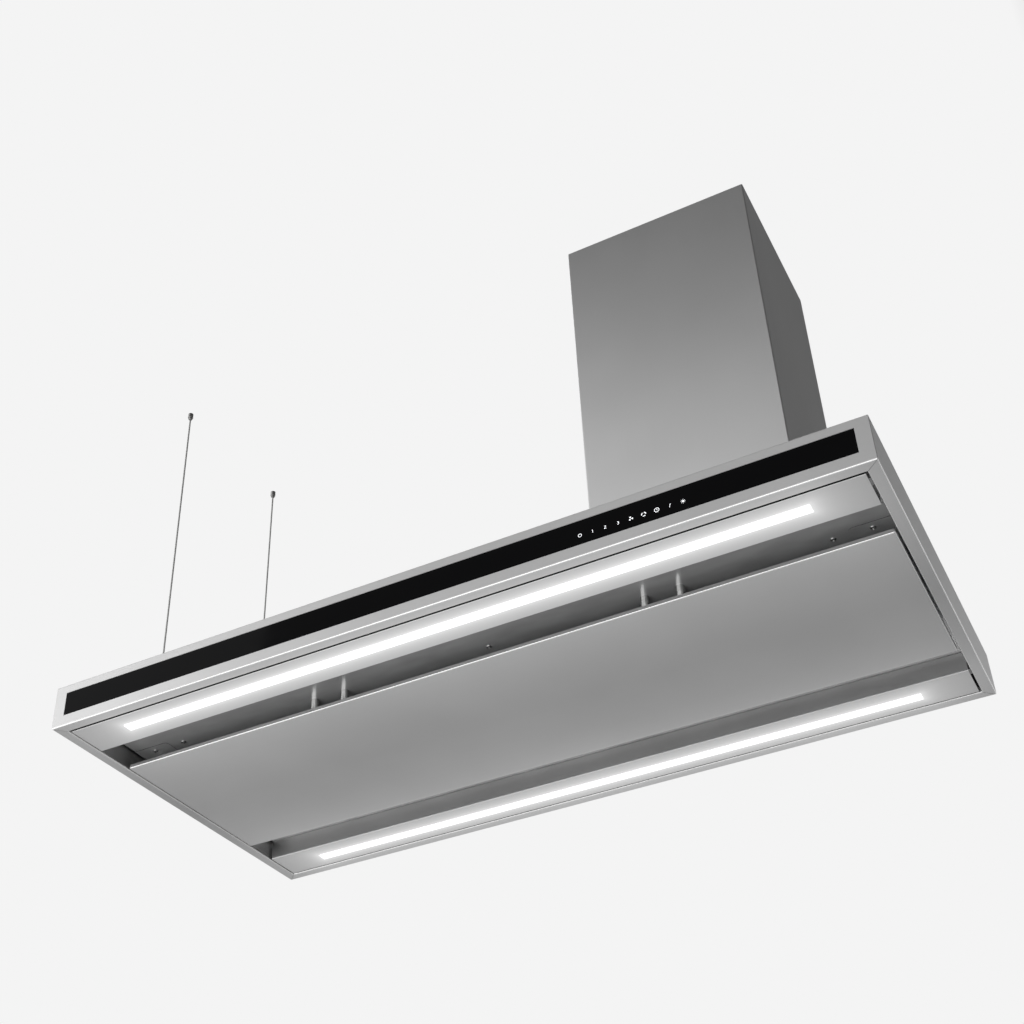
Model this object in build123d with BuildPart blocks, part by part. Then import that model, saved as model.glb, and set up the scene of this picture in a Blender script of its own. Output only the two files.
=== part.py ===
"""Island range hood: a flat steel canopy hung from the ceiling by a square chimney and, at its far end, two wires.

Frame: millimetres, +Z up, the front of the canopy towards -Y. The origin lies in the ceiling plane, on the
vertical centreline of the chimney, so everything hangs below it.
"""
import os

from build123d import *

os.makedirs("parts", exist_ok=True)

# Driving dimensions: overall
hang_drop = 710.0          # ceiling to the underside of the canopy
canopy_length = 1200.0
canopy_depth = 600.0
canopy_height = 68.0
chimney_width = 292.0
chimney_depth = 280.0
chimney_offset = 324.0     # chimney centreline, to the right of the canopy's centre
sheet = 1.0                # sheet steel of the canopy, the trays and the chimney
bend_radius = 2.0          # outside radius of the visible folds
fit_gap = 0.3              # clearance between pieces that lie beside each other

# Canopy walls
rim_width = 17.0           # underside rim
top_flange = 16.0
mitre_gap = 0.5            # open joint between neighbouring walls
shadow_gap = 3.0           # dark line inside the rim

# Underside
tray_height = 32.0         # underside of the filter tray above the rim
light_panel_width = 66.0
suction_slot = 59.5        # open slot between a light panel and the suction panel
panel_drop = 1.0           # the suction panel hangs this far below the rim
panel_thickness = 6.0
panel_corner = 3.0

# Lights
strip_margin = 75.0         # strip ends in from the light panel's ends
strip_width = 15.0
strip_shift = 3.0          # strip centre outwards from the light panel's centre
strip_proud = 0.8
diffuser_ledge = 4.0       # how far the diffuser reaches past its slot on each side
diffuser_height = 10.0
board_thickness = 1.6
led_size = 3.0
led_pitch = 50.0

# Control glass
glass_margin = 19.0        # window edge to the end of the canopy
glass_top = 13.5           # window's upper edge below the canopy's top
glass_base = 17.5          # window's lower edge above the rim
glass_thickness = 4.0
glass_recess = 0.4
carrier_flange = 8.0
touch_length = 160.0
touch_height = 22.0
touch_centre = 297.0       # centre of the touch row, to the right of the canopy's centre

# Grease filters
filter_gap = 12.0          # between the two filters
filter_margin = 3.0        # right filter's end to the tray's end plate
filter_setback = 38.0      # filter edges in from the fastener rows
fitting_shift = 13.0       # the filters and posts sit this far to the right of the canopy's centre
filter_lip = 6.0           # lip that bears on the tray from below
filter_rail = 15.0         # visible width of the filter's rim
filter_height = 9.0        # height of the filter above the tray's underside
lip_thickness = 1.2
mesh_thickness = 3.0
mesh_columns = 18
mesh_rows = 8
mesh_hole = 11.0
latch_width = 40.0
latch_travel = 6.0
latch_plate = 2.0
latch_bolt = 12.0          # bolt length past the riser
latch_grip = 5.0           # depth of the finger rib

# Panel hinges, magnet posts and visible screws
hinge_margin = 72.0        # hinge centres in from the tray's end plates
hinge_inset = 13.5         # hinge axis from the panel's rear edge
hinge_rise = 10.0          # hinge axis above the panel's back
hinge_plate = 1.5
hinge_ear = 2.0
hinge_eye = 5.0
hinge_pin_radius = 2.5
hinge_span = 28.0          # between the outer ears
running_gap = 0.05
post_radius = 6.5
post_pair = 50.0
post_setback = 21.5        # fastener rows in from the panel's front and rear edges
magnet_radius = 5.0
magnet_height = 3.0
magnet_gap = 0.3
strike_thickness = 1.5
stud_radius = 2.0
stud_length = 6.0
screw_head_radius = 4.0
screw_head_height = 2.2
screw_head_taper = 25.0
end_screw_pair = 51.0      # between the screws of a pair at the tray's ends
end_plate_length = 58.0    # cover plates at the tray's ends
end_plate_margin = 12.0    # their edges past the fastener rows
end_plate_corner = 6.0
end_plate_sheet = 0.6

# Chimney frame and ceiling bracket
frame_plate = 3.0
frame_skirt = 25.0
frame_wall = 2.0
frame_gap = 2.0            # between the frame and the chimney cover
post_leg = 25.0
bracket_opening_x = 196.0
bracket_opening_y = 190.0
ceiling_hole_radius = 4.0
plate_hole_inset = 17.0     # ceiling and base holes from the frame's edges
post_slot_count = 6
post_slot_length = 20.0
post_slot_width = 6.5
bolt_radius = 3.0
bolt_head_radius = 5.0
bolt_head_height = 4.0
chimney_return = 15.0      # folded rear edges of the chimney cover
ceiling_clearance = 0.5    # chimney cover's upper edge below the ceiling

# Blower
scroll_clearance = 16.5    # scroll to the inside of the chimney cover
impeller_width = 128.0
blade_depth = 13.0
blade_count = 36
blade_thickness = 1.0
blade_curve = 11.0         # radius of the blade's curve
blade_sweep = 75.0         # degrees of that curve
hub_length = 14.0
disc_thickness = 2.0
shaft_radius = 4.0
tongue_gap = 6.0
volute_step = 7.0
casing_width = 140.0
inlet_step = 3.0           # inlet inside the blades' inner edges
inlet_flare = 8.0
blower_axis = 190.0        # shaft above the rim
outlet_rise = 100.0        # outlet above the shaft
motor_radius = 40.0
capacitor_radius = 14.0
capacitor_height = 60.0
rail_height = 96.0         # underside of the blower rails above the rim
rail_width = 26.0
grommet_height = 4.0
grommet_radius = 8.0
foot_thickness = 1.5

# Outlet collar and non-return flaps
collar_radius = 75.0
collar_wall = 1.5
collar_height = 50.0
collar_plate = 2.0
flap_rise = 22.0           # flap pin above the collar plate
flap_thickness = 1.2
flap_pin_radius = 1.5
flap_barrel_radius = 3.0
flap_barrel_length = 20.0
flap_split = 5.0           # flap edge from the pin
stop_width = 6.0
stop_thickness = 2.0

# Suspension wires
wire_radius = 1.5
wire_inset = 36.0          # from the canopy's left end
wire_spread = 252.0
wire_tail = 20.0           # wire end below the top plate
anchor_radius = 4.5
anchor_height = 12.0
anchor_thread_radius = 2.5
anchor_thread_depth = 7.0
gripper_radius = 7.0
gripper_height = 30.0
gripper_nut_radius = 9.0
gripper_nut_height = 5.0
plunger_radius = 4.0
plunger_height = 12.0
plunger_travel = 3.0

# Electronics inside the canopy
control_box_length = 200.0
control_box_depth = 70.0
control_box_headroom = 5.0  # lid below the top plate
box_wall = 2.0
driver_length = 160.0
driver_depth = 40.0
driver_height = 22.0

# Places worked out from the sizes above
canopy_x = -chimney_offset
underside_z = -hang_drop
inner_length = canopy_length - 2 * (rim_width + shadow_gap)
inner_depth = canopy_depth - 2 * (rim_width + shadow_gap)
light_panel_y = inner_depth / 2 - light_panel_width / 2
slot_outer_y = inner_depth / 2 - light_panel_width
panel_depth = 2 * (slot_outer_y - suction_slot)
panel_top = panel_thickness - panel_drop
post_row = panel_depth / 2 - post_setback
end_plate_x = inner_length / 2 - end_plate_length / 2
end_screw_x = end_plate_x - end_screw_pair
end_plate_start = inner_length / 2 - end_plate_length
hinge_places = [side * (end_plate_start - hinge_margin) for side in (-1, 1)]
filter_length = end_plate_start - filter_margin - fitting_shift - filter_gap / 2
filter_depth = 2 * (post_row - filter_setback)
strip_length = inner_length - 2 * strip_margin
rim_lip = tray_height - fit_gap
top_plate_height = canopy_height - 2 * sheet
strip_y = light_panel_y + strip_shift
glass_height = canopy_height - glass_base - glass_top
glass_centre = glass_base + glass_height / 2
frame_x = chimney_width / 2 - sheet - frame_gap
frame_y = chimney_depth / 2 - sheet - frame_gap
frame_base = canopy_height - sheet
plate_hole_x = frame_x - plate_hole_inset
plate_hole_y = frame_y - plate_hole_inset
plate_hole_places = [(a * plate_hole_x, b * plate_hole_y) for a in (-1, 1) for b in (-1, 1)]
# The outlet is centred in the chimney, so the scroll reaches 1.5 times its first radius and step to the left.
scroll_reach = chimney_width / 2 - 2 * sheet - scroll_clearance
volute_start = scroll_reach / 1.5 - volute_step
impeller_radius = volute_start - tongue_gap
inlet_radius = impeller_radius - blade_depth - inlet_step
outlet_width = volute_start + 3 * volute_step
blower_x = -outlet_width / 2
collar_base = blower_axis + outlet_rise + collar_plate
flap_height = collar_base + flap_rise
wire_x = -canopy_length / 2 + wire_inset
hinge_y = panel_depth / 2 - hinge_inset
hinge_height = panel_top + hinge_rise
filter_centres = [fitting_shift + side * (filter_length + filter_gap) / 2 for side in (-1, 1)]
post_places = [(centre + end * post_pair / 2, -post_row) for centre in filter_centres for end in (-1, 1)]
screw_xs = [-end_plate_x, -end_screw_x, fitting_shift, end_screw_x, end_plate_x]
screw_places = [(x, side * post_row) for x in screw_xs for side in (-1, 1)]
flange_screw_y = canopy_depth / 2 - top_flange / 2
flange_screw_x = canopy_length / 2 - top_flange / 2
flange_shares = (-0.8, -0.4, 0, 0.4, 0.8)
flange_places = [(x * canopy_length / 2, side * flange_screw_y) for x in flange_shares for side in (-1, 1)]
flange_places += [(side * flange_screw_x, y * canopy_depth / 2) for y in (-0.6, 0.6) for side in (-1, 1)]


def level(height):
    """Horizontal plane at a height above the rim, centred on the canopy."""
    return Plane((canopy_x, 0, underside_z + height))


def stack(height):
    """Horizontal plane at a height above the rim, centred on the chimney."""
    return Plane((0, 0, underside_z + height))


def along_canopy(y=0.0):
    """Upright plane across the canopy at a depth: first axis towards the rear, second axis up."""
    return Plane((canopy_x, y, underside_z), x_dir=(0, 1, 0), z_dir=(1, 0, 0))


def shaft_plane(offset=0.0):
    """Upright plane square to the blower's shaft: first axis to the right, second axis up, facing the front."""
    return Plane((blower_x, -offset, underside_z + blower_axis), x_dir=(1, 0, 0), z_dir=(0, -1, 0))


def save(builder, name):
    """Labels a finished piece and writes its STEP file."""
    builder.part.label = name
    export_step(builder.part, f"parts/{name}.step")


# Canopy walls: one folded section, mitred at the corners
def canopy_wall(out_x, out_y):
    """Wall that faces (out_x, out_y): outer face, underside rim with its upturned lip, and top flange."""
    centre = Vector(canopy_x + out_x * canopy_length / 2, out_y * canopy_depth / 2, underside_z)
    outward = Vector(out_x, out_y, 0)
    along = Vector(-out_y, out_x, 0)
    half_length = (canopy_length if out_y else canopy_depth) / 2
    with BuildPart() as wall:
        with BuildSketch(Plane(centre, x_dir=-outward, z_dir=along)):
            with BuildLine():
                FilletPolyline((top_flange, canopy_height), (0, canopy_height), (0, 0), (rim_width, 0),
                               (rim_width, rim_lip), radius=bend_radius)
                offset(amount=sheet, side=Side.LEFT)
            make_face()
        extrude(amount=half_length, both=True)
        for end in (-1, 1):
            normal = (along * end - outward).normalized()
            corner = centre + along * (end * half_length) - normal * (mitre_gap / 2)
            split(bisect_by=Plane(corner, z_dir=normal), keep=Keep.BOTTOM)
    return wall


front_wall = canopy_wall(0, -1)
front_face = Plane((canopy_x, -canopy_depth / 2, underside_z), x_dir=(1, 0, 0), z_dir=(0, -1, 0))
window_length = canopy_length - 2 * glass_margin
with BuildPart() as front_fascia:
    add(front_wall.part)
    with BuildSketch(front_face):
        with Locations((0, glass_centre)):
            Rectangle(window_length, glass_height)
    extrude(amount=-2 * sheet, mode=Mode.SUBTRACT)
    with BuildSketch(level(canopy_height)):
        with Locations(*flange_places):
            Circle(stud_radius + running_gap)
    extrude(amount=-sheet, mode=Mode.SUBTRACT)
save(front_fascia, "front_fascia")

for wall_name, out_x, out_y in (("rear_fascia", 0, 1), ("left_side", -1, 0), ("right_side", 1, 0)):
    plain_wall = canopy_wall(out_x, out_y)
    with BuildPart() as drilled_wall:
        add(plain_wall.part)
        with BuildSketch(level(canopy_height)):
            with Locations(*flange_places):
                Circle(stud_radius + running_gap)
        extrude(amount=-sheet, mode=Mode.SUBTRACT)
    save(drilled_wall, wall_name)

# Top plate under the top flanges, open below the chimney and drilled for the wire grippers
with BuildPart() as top_plate:
    with BuildSketch(level(top_plate_height)):
        Rectangle(canopy_length - 2 * bend_radius - 2 * fit_gap, canopy_depth - 2 * bend_radius - 2 * fit_gap)
        with Locations((chimney_offset, 0)):
            Rectangle(bracket_opening_x, bracket_opening_y, mode=Mode.SUBTRACT)
        with Locations((wire_x, -wire_spread / 2), (wire_x, wire_spread / 2)):
            Circle(gripper_radius + running_gap, mode=Mode.SUBTRACT)
        with Locations(*flange_places):
            Circle(stud_radius + running_gap, mode=Mode.SUBTRACT)
        with Locations(*[(chimney_offset + x, y) for x, y in plate_hole_places]):
            Circle(bolt_radius + running_gap, mode=Mode.SUBTRACT)
    extrude(amount=sheet)
save(top_plate, "top_plate")

# Filter tray: a deep pan that closes the air box, hung by its flanges from the top plate
pan_depth = top_plate_height - tray_height
flange_length = canopy_length - 4 * sheet
flange_depth = canopy_depth - 4 * sheet
with BuildPart() as filter_tray:
    with BuildSketch(level(tray_height)):
        Rectangle(inner_length, inner_depth)
    extrude(amount=pan_depth)
    with BuildSketch(level(tray_height + sheet)):
        Rectangle(inner_length - 2 * sheet, inner_depth - 2 * sheet)
    extrude(amount=pan_depth, mode=Mode.SUBTRACT)
    with BuildSketch(level(top_plate_height - sheet)):
        Rectangle(flange_length, flange_depth)
        Rectangle(inner_length - sheet, inner_depth - sheet, mode=Mode.SUBTRACT)
        with Locations(*flange_places):
            Circle(stud_radius + running_gap, mode=Mode.SUBTRACT)
    extrude(amount=sheet)
    with BuildSketch(level(tray_height)):
        with Locations(*[(x, 0) for x in filter_centres]):
            Rectangle(filter_length - 2 * filter_lip + 2, filter_depth - 2 * filter_lip + 2)
        with Locations(*screw_places, *post_places):
            Circle(stud_radius + running_gap)
    extrude(amount=sheet, mode=Mode.SUBTRACT)
save(filter_tray, "filter_tray")

# Cover plates at the ends of the tray, with the outer screw of each pair through them
with BuildPart() as tray_end_plates:
    for side in (-1, 1):
        with BuildSketch(level(tray_height)):
            with Locations((side * end_plate_x, 0)):
                plate = Rectangle(end_plate_length, 2 * (post_row + end_plate_margin))
            fillet(plate.vertices().sort_by(Axis.X, reverse=side > 0)[-2:], end_plate_corner)
            with Locations(*screw_places):
                Circle(stud_radius + running_gap, mode=Mode.SUBTRACT)
        extrude(amount=-end_plate_sheet)
save(tray_end_plates, "tray_end_plates")


def domed_screws(places, seat, upward):
    """Pan-head screws on a seat at the given height, heads upwards or downwards."""
    turn = 1 if upward else -1
    with BuildPart() as screws:
        with BuildSketch(level(seat)):
            with Locations(*places):
                Circle(screw_head_radius)
        extrude(amount=turn * screw_head_height, taper=screw_head_taper)
        with BuildSketch(level(seat)):
            with Locations(*places):
                Circle(stud_radius)
        extrude(amount=-turn * stud_length)
    return screws


outer_screws = [(x, y) for x, y in screw_places if abs(x) > end_screw_x]
inner_screws = [(x, y) for x, y in screw_places if abs(x) <= end_screw_x]
plate_screws = domed_screws(outer_screws, tray_height - end_plate_sheet, False)
row_screws = domed_screws(inner_screws, tray_height, False)
flange_screws = domed_screws(flange_places, canopy_height, True)

# Light panels: folded channels below the tray, slotted for the opal strips
board_height = diffuser_height + sheet
channel_side = light_panel_width / 2
channel_lip = light_panel_width / 4
for lamp, side in (("front", -1), ("rear", 1)):
    with BuildPart() as light_channel:
        with BuildSketch(along_canopy(side * light_panel_y)):
            with BuildLine():
                FilletPolyline((-channel_lip, tray_height), (-channel_side, tray_height), (-channel_side, 0),
                               (channel_side, 0), (channel_side, tray_height), (channel_lip, tray_height),
                               radius=bend_radius)
                offset(amount=sheet, side=Side.LEFT)
            make_face()
        extrude(amount=inner_length / 2, both=True)
        with BuildSketch(level(0)):
            with Locations((0, side * strip_y)):
                Rectangle(strip_length + 2 * fit_gap, strip_width + 2 * fit_gap)
        extrude(amount=sheet, mode=Mode.SUBTRACT)
    save(light_channel, f"{lamp}_light_channel")

    with BuildPart() as light_diffuser:
        with BuildSketch(level(-strip_proud)):
            with Locations((0, side * strip_y)):
                Rectangle(strip_length, strip_width)
        extrude(amount=strip_proud + sheet)
        with BuildSketch(level(sheet)):
            with Locations((0, side * strip_y)):
                Rectangle(strip_length + 2 * diffuser_ledge, strip_width + 2 * diffuser_ledge)
        extrude(amount=diffuser_height)
        with BuildSketch(level(2 * sheet)):
            with Locations((0, side * strip_y)):
                Rectangle(strip_length, strip_width)
        extrude(amount=diffuser_height, mode=Mode.SUBTRACT)
    save(light_diffuser, f"{lamp}_light_diffuser")

    with BuildPart() as led_board:
        with BuildSketch(level(board_height)):
            with Locations((0, side * strip_y)):
                Rectangle(strip_length + diffuser_ledge, strip_width + diffuser_ledge)
        extrude(amount=board_thickness)
        with BuildSketch(level(board_height)):
            with Locations((0, side * strip_y)):
                with GridLocations(led_pitch, 0, int(strip_length / led_pitch), 1):
                    Rectangle(led_size, led_size)
        extrude(amount=-board_thickness / 2)
    save(led_board, f"{lamp}_led_board")

# Control glass in the front window, bonded to its carrier, with the touch board on its back
glass_front = -canopy_depth / 2 + glass_recess
glass_back = glass_front + glass_thickness


def front_plane(y):
    """Upright plane facing the front at a depth, its origin at the middle of the window."""
    return Plane((canopy_x, y, underside_z + glass_centre), x_dir=(1, 0, 0), z_dir=(0, -1, 0))


with BuildPart() as control_glass:
    with BuildSketch(front_plane(glass_back)):
        Rectangle(window_length - 2 * fit_gap, glass_height - 2 * fit_gap)
    extrude(amount=glass_thickness)
save(control_glass, "control_glass")

with BuildPart() as touch_board:
    with BuildSketch(front_plane(glass_back)):
        with Locations((touch_centre, 0)):
            Rectangle(touch_length, touch_height)
    extrude(amount=-board_thickness)
save(touch_board, "touch_board")

carrier_inside = glass_height + 2
wall_back = -canopy_depth / 2 + sheet
carrier_depth = glass_back - wall_back
with BuildPart() as glass_carrier:
    with BuildSketch(along_canopy()):
        with Locations((wall_back, glass_centre)):
            Rectangle(carrier_depth + sheet, carrier_inside + 2 * sheet, align=(Align.MIN, Align.CENTER))
            Rectangle(carrier_depth, carrier_inside, align=(Align.MIN, Align.CENTER), mode=Mode.SUBTRACT)
        for side in (-1, 1):
            with Locations((wall_back, glass_centre + side * (carrier_inside + carrier_flange) / 2)):
                Rectangle(sheet, carrier_flange, align=(Align.MIN, Align.CENTER))
    extrude(amount=window_length / 2 + sheet, both=True)
    with BuildSketch(front_plane(glass_back)):
        with Locations((touch_centre, 0)):
            Rectangle(touch_length + 2 * fit_gap, touch_height + 2 * fit_gap)
    extrude(amount=-2 * sheet, mode=Mode.SUBTRACT)
save(glass_carrier, "glass_carrier")

# Control box with its lid, and the light driver, all standing on the tray in the air box
box_floor = tray_height + sheet
control_box_height = top_plate_height - box_floor - box_wall - control_box_headroom
box_y = inner_depth / 2 - light_panel_width - control_box_depth / 2
with BuildPart() as control_box:
    with BuildSketch(level(box_floor)):
        with Locations((0, box_y)):
            Rectangle(control_box_length, control_box_depth)
    extrude(amount=control_box_height)
    with BuildSketch(level(box_floor + box_wall)):
        with Locations((0, box_y)):
            Rectangle(control_box_length - 2 * box_wall, control_box_depth - 2 * box_wall)
    extrude(amount=control_box_height, mode=Mode.SUBTRACT)
save(control_box, "control_box")

with BuildPart() as control_box_lid:
    with BuildSketch(level(box_floor + control_box_height)):
        with Locations((0, box_y)):
            Rectangle(control_box_length, control_box_depth)
    extrude(amount=box_wall)
save(control_box_lid, "control_box_lid")

with BuildPart() as led_driver:
    with BuildSketch(level(box_floor)):
        with Locations((-control_box_length / 2 - driver_length, box_y)):
            Rectangle(driver_length, driver_depth)
    extrude(amount=driver_height)
    fillet(led_driver.edges().filter_by(Axis.Z), box_wall)
save(led_driver, "led_driver")

# Grease filters: rim, mesh and sprung latch
lip_base = tray_height - lip_thickness
body_length = filter_length - 2 * filter_lip
body_depth = filter_depth - 2 * filter_lip
open_length = filter_length - 2 * filter_rail
open_depth = filter_depth - 2 * filter_rail
bolt_height = tray_height + sheet + fit_gap
latch_height = lip_base - fit_gap - latch_plate
riser_y = -body_depth / 2 + sheet + latch_plate
for hand, centre_x in zip(("left", "right"), filter_centres):
    with BuildPart() as filter_frame:
        with BuildSketch(level(lip_base)):
            with Locations((centre_x, 0)):
                Rectangle(filter_length, filter_depth)
                Rectangle(open_length, open_depth, mode=Mode.SUBTRACT)
        extrude(amount=lip_thickness)
        with BuildSketch(level(tray_height)):
            with Locations((centre_x, 0)):
                Rectangle(body_length, body_depth)
                Rectangle(body_length - 2 * sheet, body_depth - 2 * sheet, mode=Mode.SUBTRACT)
        extrude(amount=filter_height)
        with BuildSketch(level(tray_height + filter_height - sheet)):
            with Locations((centre_x, 0)):
                Rectangle(body_length, body_depth)
                Rectangle(open_length, open_depth, mode=Mode.SUBTRACT)
        extrude(amount=sheet)
        with BuildSketch(level(bolt_height - fit_gap)):
            with Locations((centre_x, -body_depth / 2)):
                Rectangle(latch_width + 2 * fit_gap, 4 * sheet)
        extrude(amount=latch_plate + 2 * fit_gap, mode=Mode.SUBTRACT)
        with BuildSketch(level(lip_base)):
            with Locations((centre_x, riser_y - fit_gap)):
                Rectangle(latch_width + 2 * fit_gap, latch_plate + latch_travel + 2 * fit_gap,
                          align=(Align.CENTER, Align.MIN))
        extrude(amount=lip_thickness, mode=Mode.SUBTRACT)
    save(filter_frame, f"filter_frame_{hand}")

    with BuildPart() as filter_mesh:
        with BuildSketch(level(tray_height + sheet)):
            with Locations((centre_x, 0)):
                Rectangle(body_length - 2 * sheet - 2 * fit_gap, body_depth - 2 * sheet - 2 * fit_gap)
                with GridLocations(open_length / mesh_columns, open_depth / mesh_rows, mesh_columns, mesh_rows):
                    Rectangle(mesh_hole, mesh_hole, rotation=45, mode=Mode.SUBTRACT)
            with Locations((centre_x, -body_depth / 2)):
                Rectangle(latch_width + 4, 2 * (filter_rail - filter_lip) + latch_travel, mode=Mode.SUBTRACT)
        extrude(amount=mesh_thickness)
    save(filter_mesh, f"filter_mesh_{hand}")

    with BuildPart() as filter_latch:
        with BuildSketch(Plane((canopy_x + centre_x, 0, underside_z), x_dir=(0, 1, 0), z_dir=(1, 0, 0))):
            with Locations((riser_y, latch_height)):
                Rectangle(latch_plate, bolt_height + latch_plate - latch_height, align=(Align.MIN, Align.MIN))
                Rectangle(2 * latch_bolt, latch_plate, align=(Align.CENTER, Align.MIN))
            with Locations((riser_y + latch_bolt - latch_plate, latch_height)):
                Rectangle(latch_plate, latch_grip, align=(Align.MIN, Align.MAX))
            with Locations((riser_y + latch_plate, bolt_height)):
                Rectangle(latch_bolt, latch_plate, align=(Align.MAX, Align.MIN))
        extrude(amount=latch_width / 2, both=True)
    save(filter_latch, f"filter_latch_{hand}")

# Magnet posts under the tray, which hold the closed suction panel by its strike plates
post_base = panel_top + strike_thickness + magnet_gap
with BuildPart() as magnet_posts:
    with BuildSketch(level(post_base)):
        with Locations(*post_places):
            Circle(post_radius)
    extrude(amount=tray_height - post_base)
    with BuildSketch(level(tray_height)):
        with Locations(*post_places):
            Circle(stud_radius)
    extrude(amount=stud_length)
    with BuildSketch(level(post_base)):
        with Locations(*post_places):
            Circle(magnet_radius + running_gap)
    extrude(amount=magnet_height, mode=Mode.SUBTRACT)
save(magnet_posts, "magnet_posts")

with BuildPart() as post_magnets:
    with BuildSketch(level(post_base)):
        with Locations(*post_places):
            Circle(magnet_radius)
    extrude(amount=magnet_height)
save(post_magnets, "post_magnets")

# Suction panel: a shallow pan with a folded back, strike plates and hinge leaves
panel_length = inner_length
with BuildPart() as suction_panel:
    with BuildSketch(level(-panel_drop)) as outline:
        Rectangle(panel_length, panel_depth)
        fillet(outline.vertices(), panel_corner)
    extrude(amount=panel_thickness)
    fillet(suction_panel.faces().sort_by(Axis.Z)[0].edges(), bend_radius)
    with BuildSketch(level(-panel_drop + sheet)) as hollow:
        Rectangle(panel_length - 2 * sheet, panel_depth - 2 * sheet)
        fillet(hollow.vertices(), panel_corner - sheet)
    extrude(amount=panel_thickness, mode=Mode.SUBTRACT)
    inner_floor = suction_panel.faces().filter_by(Axis.Z).sort_by(Axis.Z)[1]
    fillet(inner_floor.edges(), bend_radius - sheet)
save(suction_panel, "suction_panel")

back_length = panel_length - 2 * bend_radius - 2 * fit_gap
back_depth = panel_depth - 2 * bend_radius - 2 * fit_gap
with BuildPart() as panel_back:
    with BuildSketch(level(-panel_drop + sheet)) as back_outline:
        Rectangle(back_length, back_depth)
        fillet(back_outline.vertices(), panel_corner)
    extrude(amount=panel_thickness - sheet)
    with BuildSketch(level(-panel_drop + sheet)):
        Rectangle(back_length - 2 * sheet, back_depth - 2 * sheet)
    extrude(amount=panel_thickness - 2 * sheet, mode=Mode.SUBTRACT)
save(panel_back, "panel_back")

with BuildPart() as strike_plates:
    with BuildSketch(level(panel_top)):
        with Locations(*[(x, -post_row) for x in filter_centres]):
            Rectangle(post_pair + 4 * post_radius, 2 * post_radius + 2)
    extrude(amount=strike_thickness)
save(strike_plates, "strike_plates")


def ear_plane(x):
    """Upright plane square to the hinge axis at a place along it: first axis to the rear, second axis up."""
    return Plane((canopy_x + x, hinge_y, underside_z + hinge_height), x_dir=(0, 1, 0), z_dir=(1, 0, 0))


with BuildPart() as hinge_leaves:
    for place in hinge_places:
        with BuildSketch(level(panel_top)):
            with Locations((place, hinge_y - hinge_eye)):
                Rectangle(2 * hinge_span, 4 * hinge_eye)
        extrude(amount=hinge_plate)
        for side in (-1, 1):
            with BuildSketch(ear_plane(place + side * hinge_span / 2)):
                Circle(hinge_eye)
                Rectangle(2 * hinge_eye, hinge_rise, align=(Align.CENTER, Align.MAX))
                Circle(hinge_pin_radius + running_gap, mode=Mode.SUBTRACT)
            extrude(amount=hinge_ear / 2, both=True)
save(hinge_leaves, "hinge_leaves")

bracket_drop = tray_height - hinge_height
inner_ear = hinge_span / 2 - hinge_ear - fit_gap
with BuildPart() as hinge_brackets:
    for place in hinge_places:
        with BuildSketch(level(tray_height)):
            with Locations((place, hinge_y)):
                Rectangle(2 * hinge_span, 4 * hinge_eye)
        extrude(amount=-hinge_plate)
        for side in (-1, 1):
            with BuildSketch(ear_plane(place + side * inner_ear)):
                Circle(hinge_eye)
                Rectangle(2 * hinge_eye, bracket_drop, align=(Align.CENTER, Align.MIN))
                Circle(hinge_pin_radius + running_gap, mode=Mode.SUBTRACT)
            extrude(amount=hinge_ear / 2, both=True)
save(hinge_brackets, "hinge_brackets")

with BuildPart() as hinge_pins:
    for place in hinge_places:
        with BuildSketch(ear_plane(place)):
            Circle(hinge_pin_radius)
        extrude(amount=hinge_span / 2 + hinge_ear, both=True)
        for side in (-1, 1):
            with BuildSketch(ear_plane(place + side * (hinge_span / 2 + 2 * hinge_ear))):
                Circle(hinge_pin_radius + 1)
            extrude(amount=-side * hinge_ear)
save(hinge_pins, "hinge_pins")

# Chimney cover: a folded front with returned rear edges, and a rear plate screwed through them to the frame
cover_height = hang_drop - ceiling_clearance - frame_base
cover_screw_x = chimney_width / 2 - chimney_return / 2
cover_screw_rows = [share * cover_height for share in (0.1, 0.5, 0.9)]
cover_screw_places = [(side * cover_screw_x, row) for row in cover_screw_rows for side in (-1, 1)]
rear_face = Plane((0, chimney_depth / 2, underside_z + frame_base), x_dir=(1, 0, 0), z_dir=(0, -1, 0))
with BuildPart() as chimney_front:
    with BuildSketch(stack(frame_base)):
        cover = Rectangle(chimney_width, chimney_depth)
        fillet(cover.vertices(), bend_radius)
        offset(amount=-sheet, mode=Mode.SUBTRACT)
        with Locations((0, chimney_depth / 2)):
            Rectangle(chimney_width - 2 * chimney_return, 4 * sheet, mode=Mode.SUBTRACT)
    extrude(amount=cover_height)
    with BuildSketch(rear_face):
        with Locations(*cover_screw_places):
            Circle(stud_radius + running_gap)
    extrude(amount=2 * sheet, mode=Mode.SUBTRACT)
save(chimney_front, "chimney_front")

with BuildPart() as chimney_back:
    with BuildSketch(rear_face.offset(sheet)):
        with Locations((0, cover_height / 2)):
            Rectangle(chimney_width - 2 * bend_radius - 2 * fit_gap, cover_height)
        with Locations(*cover_screw_places):
            Circle(stud_radius + running_gap, mode=Mode.SUBTRACT)
    extrude(amount=sheet)
save(chimney_back, "chimney_back")

# Pan-head screws of the tray, the top flanges and the chimney cover
with BuildPart() as pan_screws:
    add(plate_screws.part)
    add(row_screws.part)
    add(flange_screws.part)
    with BuildSketch(rear_face):
        with Locations(*cover_screw_places):
            Circle(screw_head_radius)
    extrude(amount=-screw_head_height, taper=screw_head_taper)
    with BuildSketch(rear_face):
        with Locations(*cover_screw_places):
            Circle(stud_radius)
    extrude(amount=stud_length)
save(pan_screws, "pan_screws")

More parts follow.
